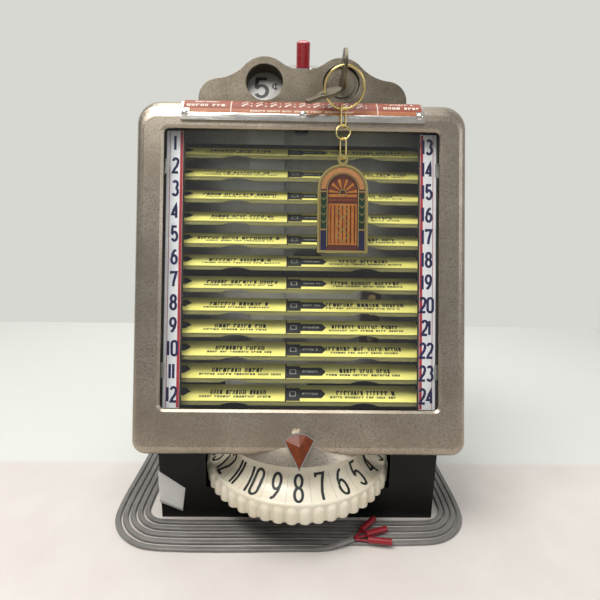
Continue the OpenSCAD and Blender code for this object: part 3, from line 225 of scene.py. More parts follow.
PAINT = {
    "black_paint": surface(
        "housing_black", (0.004, 0.004, 0.0045), 0.40, second=(0.008, 0.007, 0.006), grain=1100,
        bump=0.10, round_edge=0.7, edge=(0.05, 0.045, 0.04), Specular_IOR_Level=0.22),
    "cast_metal": surface(
        "aged_casting", (0.48, 0.42, 0.34), 0.36, 1.0, second=(0.37, 0.317, 0.25), patch=30,
        grain=1700, spread=0.12, bump=0.14, spots=(0.29, 0.245, 0.19), spot_size=900,
        spot_edge=(0.46, 0.70)),
    "head_metal": surface(
        "dull_casting", (0.20, 0.172, 0.132), 0.46, 0.9, second=(0.125, 0.105, 0.074), patch=48,
        grain=1800, spread=0.12, bump=0.22, spots=(0.10, 0.082, 0.058), spot_size=900,
        spot_edge=(0.48, 0.72), round_edge=0.8),
    "plated_steel": surface(
        "zinc_plate", (0.60, 0.60, 0.56), 0.34, 1.0, second=(0.50, 0.50, 0.44), patch=35,
        spread=0.10, bump=0.05, round_edge=0.3),
    "spring_steel": surface("spring_wire", (0.62, 0.62, 0.61), 0.24, 1.0, grain=2500),
    "polished_metal": surface(
        "polished", (0.78, 0.76, 0.71), 0.16, 1.0, second=(0.60, 0.57, 0.51), patch=90,
        spread=0.08, bump=0.03, spots=(0.28, 0.24, 0.20), spot_size=500, spot_edge=(0.66, 0.74)),
    "brass": surface("brass", (0.72, 0.52, 0.22), 0.28, 1.0, second=(0.55, 0.38, 0.15), patch=120),
    "gold_plate": surface(
        "gold_plate", (0.78, 0.63, 0.26), 0.20, 1.0, second=(0.70, 0.55, 0.21), patch=60,
        spread=0.05, bump=0.01),
    "key_metal": surface(
        "tarnished", (0.17, 0.145, 0.10), 0.40, 0.95, second=(0.09, 0.075, 0.05), patch=140,
        spread=0.12, bump=0.08, round_edge=0.3, edge=(0.45, 0.40, 0.31)),
    "rack_paint": surface(
        "rack_paint", (0.036, 0.030, 0.018), 0.55, second=(0.025, 0.020, 0.012), bump=0.08,
        Specular_IOR_Level=0.12),
    # The slats' dark colour is painted shade, like the shade under the slat above; only what faces
    # the glass gets the olive LIP_COLOUR.
    "slat_paint": surface(
        "slat_paint", (0.036, 0.028, 0.013), 0.55, second=(0.026, 0.020, 0.009), patch=22,
        grain=800, bump=0.06, round_edge=0.2, Specular_IOR_Level=0.08),
    "title_card": surface(
        "title_card", (0.88, 0.82, 0.23), 0.62, second=(0.82, 0.74, 0.18), patch=30, grain=3200,
        bump=0.05),
    "number_card": surface(
        "number_card", (0.82, 0.82, 0.84), 0.45, second=(0.74, 0.74, 0.76), patch=24, grain=2600,
        bump=0.03),
    "phenolic": surface(
        "phenolic", (0.16, 0.075, 0.035), 0.40, second=(0.10, 0.045, 0.02), stretch=(1, 1, 8)),
    "switch_black": surface("switch_black", (0.03, 0.027, 0.025), 0.45, bump=0.06),
    "grommet_rubber": surface("grommet", (0.018, 0.018, 0.018), 0.65, bump=0.10),
    "amber_glass": surface(
        "amber", (0.19, 0.038, 0.006), 0.30, second=(0.085, 0.015, 0.003), patch=120,
        spread=0.06, bump=0.01, Specular_IOR_Level=0.30),
    "glass": surface(
        "window_glass", (0.97, 0.98, 0.97), 0.03, second=(0.95, 0.97, 0.96), spread=0.02,
        bump=0.0, Transmission_Weight=1.0, IOR=1.45),
    "plate_enamel": surface(
        "plate_steel", (0.80, 0.77, 0.71), 0.22, 1.0, second=(0.66, 0.62, 0.55), patch=50,
        grain=700, stretch=(0.08, 1, 1), spread=0.08, bump=0.04),
    "price_metal": surface(
        "price_plate", (0.36, 0.35, 0.325), 0.45, 0.3, second=(0.24, 0.232, 0.215), patch=90,
        bump=0.06),
    "dial_cream": surface(
        "dial_cream", (0.80, 0.735, 0.59), 0.30, second=(0.70, 0.62, 0.46), patch=26,
        grain=1300, spread=0.06, bump=0.03, Subsurface_Weight=0.12, Subsurface_Scale=0.004,
        Coat_Weight=0.25, Coat_Roughness=0.2),
    "button_red": surface(
        "button_red", (0.40, 0.008, 0.020), 0.24, second=(0.30, 0.006, 0.014), patch=60,
        bump=0.02, Coat_Weight=0.3, Coat_Roughness=0.1),
    "fob_enamel": surface(
        "fob_brown", (0.085, 0.022, 0.012), 0.20, second=(0.06, 0.015, 0.008), bump=0.02,
        Coat_Weight=0.8, Coat_Roughness=0.08),
    "cable_grey": surface(
        "cable_grey", (0.21, 0.20, 0.185), 0.38, second=(0.13, 0.122, 0.112), patch=32,
        grain=1500, bump=0.04),
    "crimp_red": surface(
        "crimp_red", (0.30, 0.010, 0.018), 0.35, second=(0.22, 0.008, 0.014), bump=0.04),
}
NODE_PAINT = {"lock_body": PAINT["head_metal"], "lock_plug": PAINT["head_metal"]}
INK = {
    "black": surface("ink_black", (0.012, 0.012, 0.013), 0.50, bump=0.02),
    "navy": surface("ink_navy", (0.005, 0.007, 0.070), 0.60, bump=0.02, Specular_IOR_Level=0.2),
    "red": surface("ink_red", (0.42, 0.010, 0.022), 0.50, bump=0.02),
    "line": surface("dial_line", (0.50, 0.42, 0.29), 0.40, bump=0.02),
    "brown": surface(
        "plate_brown", (0.30, 0.072, 0.040), 0.42, second=(0.22, 0.050, 0.028), patch=36,
        bump=0.03, spots=(0.50, 0.36, 0.26), spot_size=420, spot_edge=(0.64, 0.72),
        Specular_IOR_Level=0.3),
    "orange": surface(
        "plate_orange", (0.44, 0.17, 0.070), 0.42, second=(0.34, 0.11, 0.045), bump=0.03,
        Specular_IOR_Level=0.3),
    "white": surface("plate_white", (0.74, 0.66, 0.54), 0.45, bump=0.02, Specular_IOR_Level=0.3),
    "pale": surface("arrow_pale", (0.42, 0.42, 0.36), 0.55, bump=0.02),
    "paper": surface(
        "paper", (0.80, 0.79, 0.76), 0.75, second=(0.72, 0.70, 0.66), patch=60, grain=2400,
        bump=0.12),
    "gold": PAINT["gold_plate"],
    "tan": surface(
        "fob_tan", (0.44, 0.215, 0.085), 0.22, second=(0.36, 0.16, 0.055), Coat_Weight=0.5),
    "amber": surface(
        "fob_amber", (0.40, 0.155, 0.028), 0.22, second=(0.30, 0.10, 0.018), patch=200,
        Coat_Weight=0.5),
    "rust": surface(
        "fob_rust", (0.17, 0.045, 0.020), 0.22, second=(0.12, 0.03, 0.014), Coat_Weight=0.5),
    "green": surface(
        "fob_green", (0.010, 0.034, 0.012), 0.22, second=(0.006, 0.020, 0.008), Coat_Weight=0.5),
    "blue": surface(
        "fob_blue", (0.016, 0.015, 0.055), 0.22, second=(0.011, 0.010, 0.035), Coat_Weight=0.5),
}
# The lips' own olive colour goes only on faces toward the glass, and the rest of each slat stays
# dark as painted shade.
LIP_COLOUR = (0.23, 0.215, 0.085)
LIP_FACING = (0.88, 0.96)          # how squarely the lips start and end facing the glass


def clear_shadows(made):
    """Lets light straight through a glass, so what lies behind it isn't in its shadow."""
    tree = made.node_tree
    clear = add(tree, "BsdfTransparent").outputs["BSDF"]
    shadow = add(tree, "LightPath").outputs["Is Shadow Ray"]
    blend_output(tree, shadow, tree.nodes["Principled BSDF"].outputs["BSDF"], clear)


def olive_lips(made, colour):
    """Paints what faces the glass in a lighter colour, such as the rolled lips of the slats; the
    rest keeps the slats' dark colour, which is painted shade.
    """
    tree = made.node_tree
    normal = add(tree, "NewGeometry").outputs["Normal"]
    facing = add(tree, "VectorMath", [(0, normal)], operation="DOT_PRODUCT")
    facing.inputs[1].default_value = (0, -math.cos(LEAN), math.sin(LEAN))
    overpaint(tree, level(tree, facing.outputs["Value"], *LIP_FACING, 0.0, 1.0), colour)


clear_shadows(PAINT["glass"])
olive_lips(PAINT["slat_paint"], LIP_COLOUR)


def dress_nodes():
    """Gives each carried-over solid the finish of its material slot."""
    for part in frame["record"]["subparts"]:
        obj = frame["nodes"][part["node"]]
        made = NODE_PAINT.get(part["node"], PAINT[part["material_slot"]])
        if not obj.material_slots:
            obj.data.materials.append(made)
        for place in obj.material_slots:
            place.material = made


# ---- pieces -----------------------------------------------------------------------------------


def piece(name, verts, faces, body, made, smooth=True):
    """A mesh from points in metres, riding on a body."""
    mesh = bpy.data.meshes.new(name)
    mesh.from_pydata(verts, [], faces)
    mesh.validate()
    mesh.update()
    for polygon in mesh.polygons:
        polygon.use_smooth = smooth
    mesh.materials.append(made)
    obj = bpy.data.objects.new(name, mesh)
    bpy.context.scene.collection.objects.link(obj)
    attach(obj, body)
    return obj


def ring_faces(a, b, n):
    """Quads between two closed rings of n points, whose first points are a and b."""
    return [[a + j, a + (j + 1) % n, b + (j + 1) % n, b + j] for j in range(n)]


class Marks:
    """Thin raised marks on a surface. place(u, v, h) gives the point h mm above it, in metres."""

    def __init__(self, place, lift=0.06, sink=0.12):
        self.place, self.lift, self.sink = place, lift, sink
        self.verts, self.faces = [], []

    def ribbon(self, line, width, closed=False):
        """A stroke of even width along a line of (u, v) points."""
        n = len(line)
        start = len(self.verts)
        for i, (u, v) in enumerate(line):
            a = line[i - 1] if i or closed else line[0]
            b = line[(i + 1) % n] if i + 1 < n or closed else line[-1]
            into, out = Vector((u - a[0], v - a[1])), Vector((b[0] - u, b[1] - v))
            into = into.normalized() if into.length > 1e-9 else out.normalized()
            out = out.normalized() if out.length > 1e-9 else into
            along = (into + out).normalized() if (into + out).length > 1e-6 else into
            reach = width / 2 / max(along.dot(into), 0.5)
            side = Vector((-along.y, along.x)) * reach
            for s, h in ((1, -self.sink), (1, self.lift), (-1, self.lift), (-1, -self.sink)):
                self.verts.append(self.place(u + s * side.x, v + s * side.y, h))
        for i in range(n if closed else n - 1):
            self.faces += ring_faces(start + 4 * i, start + 4 * ((i + 1) % n), 4)
        if not closed:
            last = start + 4 * (n - 1)
            self.faces += [[start + k for k in (3, 2, 1, 0)], [last + k for k in range(4)]]

    def bar(self, u0, u1, v, height):
        """A level block between u0 and u1, its middle at v."""
        self.ribbon([(u0, v), (u1, v)], height)

    def fill(self, outline):
        """A filled flat shape."""
        start, n = len(self.verts), len(outline)
        for h in (-self.sink, self.lift):
            self.verts += [self.place(u, v, h) for u, v in outline]
        self.faces.append([start + n + i for i in range(n)])
        self.faces.append([start + n - 1 - i for i in range(n)])
        self.faces += ring_faces(start, start + n, n)

    def make(self, name, body, made, slot):
        return piece(name, self.verts, self.faces, body, made, smooth=False)


def join_marks(several, name, body, made):
    """One piece from several sets of marks."""
    verts, faces = [], []
    for marks in several:
        faces += [[len(verts) + i for i in face] for face in marks.faces]
        verts += marks.verts
    return piece(name, verts, faces, body, made, smooth=False)


def bow(cx, cy, rx, ry, a0, a1, n=10):
    """Points along an ellipse's arc, in degrees."""
    angles = [math.radians(a0 + (a1 - a0) * i / n) for i in range(n + 1)]
    return [(cx + rx * math.cos(a), cy + ry * math.sin(a)) for a in angles]


# ---- digits -----------------------------------------------------------------------------------

TALL = 2.5                         # height of a digit whose width is 1
DIGITS = {                         # strokes as (line, whether it is closed)
    "0": [(bow(0.5, 2.0, 0.5, 0.5, 180, 0) + bow(0.5, 0.5, 0.5, 0.5, 0, -180), True)],
    "1": [([(0.5, 0), (0.5, 0.8), (0.5, 1.7), (0.5, TALL)], False)],
    "2": [(bow(0.5, 1.95, 0.48, 0.55, 170, -20)
           + [(0.75, 1.15), (0.3, 0.6), (0.02, 0.02), (0.5, 0.0), (1, 0.0)], False)],
    "3": [(bow(0.5, 1.92, 0.45, 0.58, 150, -78), False),
          (bow(0.48, 0.65, 0.52, 0.67, 82, -152), False)],
    "4": [([(0.76, 0), (0.76, 0.6), (0.76, 1.6), (0.76, TALL), (0.38, 1.6), (0.0, 0.66),
            (0.5, 0.62), (1.0, 0.62)], False)],
    "5": [([(0.92, TALL), (0.5, TALL), (0.12, TALL), (0.06, 1.9), (0.04, 1.36)]
           + bow(0.5, 0.78, 0.5, 0.78, 140, -152, 16), False)],
    "6": [([(0.86, 2.42), (0.5, 2.2), (0.16, 1.6)]
           + bow(0.5, 0.72, 0.5, 0.72, 160, -200, 22), False)],
    "7": [([(0.0, 2.2), (0.0, TALL), (0.5, TALL), (1.0, TALL), (0.72, 1.6), (0.5, 0.8),
            (0.42, 0)], False)],
    "8": [(bow(0.5, 1.90, 0.44, 0.58, 0, 342, 20), True),
          (bow(0.5, 0.66, 0.5, 0.66, 0, 342, 20), True)],
    "9": [([(0.14, 0.08), (0.5, 0.3), (0.84, 0.9)]
           + bow(0.5, 1.78, 0.5, 0.72, -20, 340, 22), False)],
}


def write_number(marks, text, u, v, height, width, stroke, gap=0.0):
    """Digits centred on u, standing on v. A 1 takes up half a stroke instead of the width."""
    wide = [0.0 if c == "1" else width for c in text]
    total = sum(wide) + gap * (len(text) - 1) + stroke * 0.5 * (text.count("1"))
    at = u - total / 2
    for c, w in zip(text, wide):
        left = 0.5 if c == "1" else 0
        for line, closed in DIGITS[c]:
            shown = [(at + (x - left) * width, v + y * height / TALL) for x, y in line]
            marks.ribbon(shown, stroke, closed)
        at += w + gap + (stroke * 0.5 if c == "1" else 0)


# ---- cable ------------------------------------------------------------------------------------

LIE = 1.2                          # height of the cable's middle where it lies on the table
LEAD = [(40, 55, 9), (40, 58, 9), (39, 62, 8), (36, 66, 6.4), (31, 69.5, 4.6), (25, 71.6, 2.8),
        (18, 72.4, 1.5), (10, 72.5, 1.2), (4, 72.5, 1.2)]
TAIL = [(4, -84.85, 1.2), (12, -84.8, 1.2), (20, -84.2, 1.6), (27, -82.8, 2.8), (33, -80.9, 3.8),
        (38, -79, 3.8)]
LOOP_STEPS = 24
CORNER_STEPS = LOOP_STEPS // 4
COIL_TURNS = 4.5
# By each side's angle, where it lies at first and how far it moves out with each turn
COIL_SIDES = {0: (106, 4.3), 90: (72.5, 6.3), 180: (-111, -5), 270: (-56.5, -6.3)}
CORNER_R = (14, 6)                 # likewise, at first and its growth with each turn
SIDE_Y = 8                         # where the left and right sides have their middle point
CORE_R = 1.15                      # each of the cable's two cores
CORE_APART = 0.85


def coil_side(k, angle):
    """Where a side of turn k lies: the right one at 0 degrees, the rear one at 90."""
    first, growth = COIL_SIDES[angle]
    return first + growth * k


def coil_point(i):
    """A point of the coil: a rounded rectangle that grows with each turn."""
    k, j = i / LOOP_STEPS, i % LOOP_STEPS
    q, t = divmod(j, CORNER_STEPS)
    x = coil_side(k, 180 if q < 2 else 0)
    y = coil_side(k, 90 if q in (0, 3) else 270)
    if t == 0:
        return (x, SIDE_Y, LIE) if q % 2 else (0, y, LIE)
    r = CORNER_R[0] + CORNER_R[1] * k
    a = math.radians(90 + 90 * q + 22.5 * (t - 1))
    return x - math.copysign(r, x) + r * math.cos(a), y - math.copysign(r, y) + r * math.sin(a), LIE


def smooth_line(points, steps):
    """Catmull-Rom curve with centripetal spacing through the points."""
    points = [Vector(p) for p in points]
    ends = [2 * points[0] - points[1], *points, 2 * points[-1] - points[-2]]
    line = []
    for p0, p1, p2, p3 in zip(ends, ends[1:], ends[2:], ends[3:]):
        t1 = (p1 - p0).length ** 0.5
        t2 = t1 + (p2 - p1).length ** 0.5
        t3 = t2 + (p3 - p2).length ** 0.5
        for i in range(steps):
            t = t1 + (t2 - t1) * i / steps
            a1 = p0 * ((t1 - t) / t1) + p1 * (t / t1)
            a2 = p1 * ((t2 - t) / (t2 - t1)) + p2 * ((t - t1) / (t2 - t1))
            a3 = p2 * ((t3 - t) / (t3 - t2)) + p3 * ((t - t2) / (t3 - t2))
            b1 = a1 * ((t2 - t) / t2) + a2 * (t / t2)
            b2 = a2 * ((t3 - t) / (t3 - t1)) + a3 * ((t - t1) / (t3 - t1))
            line.append(b1 * ((t2 - t) / (t2 - t1)) + b2 * ((t - t1) / (t2 - t1)))
    line.append(points[-1])
    return line


def twin_section():
    """Outline of two cores side by side, with a groove between them."""
    angles = [math.radians(d) for d in (-132, -90, -45, 0, 45, 90, 132)]
    right = [(CORE_APART + CORE_R * math.cos(a), CORE_R * math.sin(a)) for a in angles]
    return right + [(-x, -y) for x, y in right]


def sweep(line, section):
    """Points in metres and faces of a section carried level along a line."""
    verts, faces, n = [], [], len(section)
    for i, p in enumerate(line):
        along = (line[min(i + 1, len(line) - 1)] - line[max(i - 1, 0)]).normalized()
        side = Vector((0, 0, 1)).cross(along).normalized()
        up = along.cross(side)
        verts += [(p + side * x + up * y) * MM for x, y in section]
    for i in range(len(line) - 1):
        faces += ring_faces((i + 1) * n, i * n, n)
    faces += [list(range(n)), [len(verts) - 1 - j for j in range(n)]]
    return verts, faces


def make_cable():
    coil = [coil_point(i) for i in range(int(COIL_TURNS * LOOP_STEPS) + 1)]
    line = smooth_line(LEAD + coil + TAIL, 4)
    verts, faces = sweep(line, twin_section())
    cable = piece("cable", verts, faces, "housing", PAINT["cable_grey"])
    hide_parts("cable_lead", "cable_coil", "cable_tail")


# ---- dial -------------------------------------------------------------------------------------

DIAL_R = 70.0
DIAL_Z = 26.5                      # its lower edge
DIAL_TOP = 57.0
BELL_R = DIAL_R * 0.736            # the number band at its top
BELL_OUT = DIAL_R - 3              # and at its foot
BELL_FOOT = 40.2
BAND_STEPS = 60
FLUTES = 48
FLUTE_R = 4.2
FLUTE_CORE = 67.92                 # radius at the bottom of the grooves
FLUTE_FOOT = ((0.0, 0.8), (0.25, 0.25), (0.9, 0.0), (4.0, 0.0), (7.1, 0.0))   # height, set back by
FLUTE_TOP = 33.6                   # height where the flutes start to round over
FLUTE_CAP = 5.0                    # height of their rounded tops
CAP_STEPS = 7
SHOULDER = ((39.4, 67.7), (39.9, 67.35))                # height and radius, above the flutes
HUB_R = 4.1
TOP_T = 2.0                        # thickness of the top at the hub
DIAL_COLUMNS = FLUTES * 12


def bell(t):
    """Radius and height of the number band, from its outer edge at 0 to the top at 1."""
    return (BELL_R + (BELL_OUT - BELL_R) * (1 - t) ** 2.1,
            BELL_FOOT + (DIAL_TOP - BELL_FOOT) * t ** 1.25)


BAND = [Vector(bell(i / BAND_STEPS)) for i in range(BAND_STEPS + 1)]
BAND_LENGTH = [0.0]
for band_a, band_b in zip(BAND, BAND[1:]):
    BAND_LENGTH.append(BAND_LENGTH[-1] + (band_b - band_a).length)


def on_band(v):
    """Radius, height and outward normal of the band at v mm from its outer edge."""
    i = max(k for k in range(BAND_STEPS) if BAND_LENGTH[k] <= max(v, 0))
    f = (v - BAND_LENGTH[i]) / (BAND_LENGTH[i + 1] - BAND_LENGTH[i])
    at = BAND[i].lerp(BAND[i + 1], f)
    along = (BAND[i + 1] - BAND[i]).normalized()
    return at, Vector((along.y, -along.x))


def dial_point(a, r, z):
    """The point at angle a from the front, radius r from the dial's axis and height z."""
    return Vector((r * math.sin(a), DIAL_Y - r * math.cos(a), z)) * MM


def dial_place(angle):
    """Surface map of the number band around an angle, in degrees from the front."""
    def place(u, v, h):
        at, out = on_band(v)
        r, z = at + out * h
        return dial_point(math.radians(angle) + u / at.x, r, z)
    return place


def flute_radius(a, lobe):
    """Outline of the fluted skirt at angle a, with lobes of radius lobe."""
    step = 2 * math.pi / FLUTES
    off = (a / step - 0.5 - round(a / step - 0.5)) * step
    centre = DIAL_R - FLUTE_R
    reach = lobe ** 2 - (centre * math.sin(off)) ** 2
    return max(FLUTE_CORE, centre * math.cos(off) + math.sqrt(reach)) if reach > 0 else FLUTE_CORE


def dial_rings(angles):
    """Heights of the dial's rings and their radii at the angles, up outside and down inside."""
    rings = [(DIAL_Z + rise, [flute_radius(a, FLUTE_R) - back for a in angles])
             for rise, back in FLUTE_FOOT]
    for i in range(1, CAP_STEPS + 1):
        rise = math.sin(math.radians(90 * i / CAP_STEPS))
        lobe = FLUTE_R * math.sqrt(1 - rise * rise)
        rings.append((FLUTE_TOP + FLUTE_CAP * rise, [flute_radius(a, lobe) for a in angles]))
    plain = [*SHOULDER, *((p.y, p.x) for p in BAND[::3]),
             (DIAL_TOP, BELL_R - 1.2), (DIAL_TOP, HUB_R), (DIAL_TOP - TOP_T, HUB_R),
             (DIAL_TOP - 2.4, BELL_R - 3), *((p.y - 2.1, p.x - 2.6) for p in BAND[57::-8]),
             (36.5, 67.0), (DIAL_Z + 0.4, 67.4)]
    return rings + [(z, [r] * len(angles)) for z, r in plain]


def make_dial():
    n = DIAL_COLUMNS
    angles = [2 * math.pi * i / n for i in range(n)]
    rings = dial_rings(angles)
    verts = [dial_point(a, r, z) for z, radii in rings for a, r in zip(angles, radii)]
    faces = []
    for i in range(len(rings)):
        faces += ring_faces(i * n, (i + 1) % len(rings) * n, n)
    dial = piece("dial_moulding", verts, faces, "dial", PAINT["dial_cream"])
    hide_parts("dial")
    dial.data.set_sharp_from_angle(angle=math.radians(38))


NUMBERS = 24
NUMBER_STEP = 360 / NUMBERS
NUMBER_AT_FRONT = 8
DIGIT_FOOT = 1.6                   # distance of the digits' feet from the band's outer edge
DIGIT_H = 17.4
DIGIT_W = 5.4
DIGIT_STROKE = 1.9
DIGIT_GAP = 2.1
RULE_FOOT = 0.3                    # the lines between the numbers
RULE_STEPS = 17
RULE_STEP = 1.1
RULE_W = 0.28


def make_dial_print():
    digits, lines = [], []
    for number in range(1, NUMBERS + 1):
        marks = Marks(dial_place((NUMBER_AT_FRONT - number) * NUMBER_STEP), 0.03)
        write_number(marks, str(number), 0, DIGIT_FOOT, DIGIT_H, DIGIT_W, DIGIT_STROKE, DIGIT_GAP)
        digits.append(marks)
        rule = Marks(dial_place((NUMBER_AT_FRONT - number + 0.5) * NUMBER_STEP), 0.02)
        rule.ribbon([(0, RULE_FOOT + RULE_STEP * i) for i in range(RULE_STEPS + 1)], RULE_W)
        lines.append(rule)
    join_marks(digits, "dial_numbers", "dial", INK["black"])
    join_marks(lines, "dial_sector_lines", "dial", INK["line"])


# ---- printed cards ----------------------------------------------------------------------------

# Each letter is a few blocks: its ends as shares of the letter's width, then the height of its
# middle above the line's and its own height, as shares of the line's height.
LETTERS = (((0, 1, 0, 1),),
           ((0, 1, 0.32, 0.36), (0, 0.45, -0.16, 0.60)),
           ((0, 0.42, 0, 1), (0.58, 1, 0, 1)))
LETTER_SHARE = (0.65, 1.0)         # narrowest and widest letter, as shares of the line's
LETTER_GAP = 0.28
WORD_GAP = 0.9


def word_bars(marks, centre, v, height, wide, letter):
    """A line of letter-sized blocks, grouped like words."""
    at = centre - wide / 2
    left = random.randint(4, 8)
    while at < centre + wide / 2:
        size = letter * random.uniform(*LETTER_SHARE)
        for start, end, up, tall in LETTERS[random.randrange(len(LETTERS))]:
            marks.bar(at + size * start, at + size * end, v + height * up, height * tall)
        at += size + letter * LETTER_GAP
        left -= 1
        if left == 0:
            at += letter * WORD_GAP
            left = random.randint(3, 8)


TITLE_CENTRES = (-43.0, 46.0)
TITLE_SHIFT = 2                    # how far a line may stand off its centre
TITLE_LINES = ((8.9, 4.4, (34, 58), 2.3),               # v, height, lengths and letters of the bold
               (4.6, 2.0, (44, 56), 1.7))               # line and the thin one
TITLE_PIECES = (("title_bold_lines", "black", 0.02), ("title_thin_lines", "black", 0.02),
                ("title_arrows", "black", 0.05), ("title_arrow_marks", "pale", 0.08))
TITLE_SINK = 0.1
LEFT_ARROW = ((-84.6, 13.2), (-84.6, 5.2), (-80.6, 5.2), (-76.6, 9.2), (-80.6, 13.2))
MIDDLE_BLOCK = ((-9.4, 0.8), (0.4, 0.8), (0.4, 13.4), (-9.4, 13.4))
MIDDLE_ARROW = ((0.4, 3.6), (15.6, 3.6), (18.6, 7.8), (15.6, 12.0), (0.4, 12.0))
ARROW_WORD = (7.6, 7.8, 2.0, 11, 1.5)
BLOCK_SQUARE = ((-6.6, 9.6), (-2.6, 9.6), (-2.6, 5.4), (-6.6, 5.4))


def row_place(row):
    """Surface map of a row's title strips: u across, v up the slope."""
    def place(u, v, h):
        run = v * SLAT_RUN / math.hypot(SLAT_RUN, SLAT_RISE)
        y = LIP_DEPTH + run
        z = WINDOW_Z + row * ROW_PITCH + LIP_H + run * SLAT_RISE / SLAT_RUN
        lean = math.atan2(SLAT_RISE, SLAT_RUN)
        rise = STRIP_T + 0.02 + h
        return face_mm(u, y - math.sin(lean) * rise, z + math.cos(lean) * rise)
    return place


def make_titles():
    rows = []
    for row in range(ROWS):
        bold, thin, blocks, pale = (Marks(row_place(row), lift, TITLE_SINK)
                                    for _, _, lift in TITLE_PIECES)
        for centre in TITLE_CENTRES:
            for marks, (v, height, lengths, letter) in zip((bold, thin), TITLE_LINES):
                shift = random.uniform(-TITLE_SHIFT, TITLE_SHIFT)
                word_bars(marks, centre + shift, v, height, random.uniform(*lengths), letter)
        for outline in (LEFT_ARROW, MIDDLE_BLOCK, MIDDLE_ARROW):
            blocks.fill(outline)
        word_bars(pale, *ARROW_WORD)
        pale.ribbon(BLOCK_SQUARE, 0.6, True)
        rows.append((bold, thin, blocks, pale))
    for (name, ink, _), several in zip(TITLE_PIECES, zip(*rows)):
        join_marks(several, name, "housing", INK[ink])


NUMBER_FACE = 10.0                 # depth of the number strips' face
NUMBER_OUT = 92.5
NUMBER_IN = 81.5
NUMBER_U = 86.4                    # the middle of the digits
NUMBER_FOOT = 3.4                  # height of their feet above the row's lower edge
NUMBER_DIGIT = (9.6, 3.5, 1.75, 1.5)                    # height, width, stroke and gap
BORDERS = ((NUMBER_IN + 1.0, 1.9), (NUMBER_OUT - 2.2, 0.4))                 # where, and its width
BORDER_OVER = 0.6                  # how far the borders run past the rows


def make_number_strips():
    def place(u, v, h):
        return face_mm(u, NUMBER_FACE - h, v)
    digits, red = Marks(place), Marks(place, 0.04)
    for row in range(ROWS):
        foot = WINDOW_Z + row * ROW_PITCH + NUMBER_FOOT
        for side, number in ((-1, ROWS - row), (1, 2 * ROWS - row)):
            write_number(digits, str(number), side * NUMBER_U, foot, *NUMBER_DIGIT)
    low, high = WINDOW_Z - BORDER_OVER, WINDOW_Z + ROWS * ROW_PITCH + BORDER_OVER
    for side in (-1, 1):
        for u, width in BORDERS:
            red.ribbon([(side * u, low), (side * u, high)], width)
    digits.make("strip_numbers", "housing", INK["navy"], "number_card")
    red.make("strip_borders", "housing", INK["red"], "number_card")


# ---- instruction plate ------------------------------------------------------------------------

PLATE_Z = 221.8
PLATE_OUT = 1.45                   # how far the plate's face stands in front of the cover's
PLATE_BEND = 224.2                 # height where the plate starts to bend
COVER_BEND = 15                    # radius of the cover's bend under the plate
PLATE_R = COVER_BEND + PLATE_OUT
PLATE_HALF = 162.5 / 2
PLATE_RIM = 1.6                    # bare metal left and right of the enamel
ORANGE_INSET = 4                   # how much shorter the orange band is at each end
ENAMEL_FOOT = 4.9
ENAMEL_TOP = 18.9
ORANGE_TOP = 8.2
SEPARATORS = (-48.0, 50.0)
SEPARATOR_HALF = 0.35
END_WORDS = ((-64.5, 26), (66, 24))                     # centre and length
END_LINES = ((15.6, 1.9, 0.6, 2.0), (11.2, 2.3, 1.0, 2.6))      # v, height, share, letters
FOOT_LINE = (0, 6.6, 1.2, 70, 1.5)
CHEVRON_PITCH = 9.6
CHEVRON_HALF = 3.4
CHEVRON_RISE = 2.8
CHEVRONS = ((10.6, 1.3), (13.8, 1.0))                   # height of the feet, and the stroke


def plate_place(u, v, h):
    """Surface map of the plate: u across, v up its face from the lower edge and round the bend."""
    straight = PLATE_BEND - PLATE_Z
    if v <= straight:
        return face_mm(u, -PLATE_OUT - h, PLATE_Z + v)
    a = (v - straight) / PLATE_R
    r = PLATE_R + h
    return face_mm(u, COVER_BEND - r * math.cos(a), PLATE_BEND + r * math.sin(a))


def patch(marks, u0, u1, v0, v1, steps):
    """A filled patch of a curved surface, in strips along u."""
    for i in range(steps):
        a, b = v0 + (v1 - v0) * i / steps, v0 + (v1 - v0) * (i + 1) / steps
        marks.bar(u0, u1, (a + b) / 2, b - a)


def make_plate_print():
    brown, orange = Marks(plate_place, 0.05, 0.05), Marks(plate_place, 0.05, 0.05)
    white = Marks(plate_place, 0.10)
    left, right = PLATE_RIM - PLATE_HALF, PLATE_HALF - PLATE_RIM
    patch(brown, left, right, ORANGE_TOP, ENAMEL_TOP, 7)
    patch(orange, left + ORANGE_INSET, right - ORANGE_INSET, ENAMEL_FOOT, ORANGE_TOP, 2)
    for u in SEPARATORS:
        patch(white, u - SEPARATOR_HALF, u + SEPARATOR_HALF, ENAMEL_FOOT + 0.4, ENAMEL_TOP - 0.6, 6)
    for centre, wide in END_WORDS:
        for v, height, share, letter in END_LINES:
            word_bars(white, centre, v, height, wide * share, letter)
    for i in range(-4, 5):
        u = i * CHEVRON_PITCH + 1
        for foot, stroke in CHEVRONS:
            white.ribbon([(u - CHEVRON_HALF, foot), (u, foot + CHEVRON_RISE),
                          (u + CHEVRON_HALF, foot)], stroke)
    word_bars(white, *FOOT_LINE)
    brown.make("plate_brown_enamel", "cover", INK["brown"], "plate_enamel")
    orange.make("plate_orange_enamel", "cover", INK["orange"], "plate_enamel")
    white.make("plate_ornament", "cover", INK["white"], "plate_enamel")


# ---- price in the coin window -------------------------------------------------------------------

PRICE_AT = (-HOLE_X, 16.0, 251.1)
PRICE_LEAN = math.radians(20)
PRICE_FRONT = -0.75                # the disc's front face, before the plate's middle
PRICE_R = 12.4                     # a seat's clearance inside the coin window's bore
PRICE_RISE = 2.0                   # height of the bore's centre above the plate's
PRICE_T = 1.5
FIVE = (-2.4, -7.4, 16.5, 8.0, 2.7)                     # u, v, height, width and stroke
CENT_AT = (7.4, 2.2)
CENT_R = (2.1, 2.3)
CENT_BAR = 3.4                     # half the bar's length


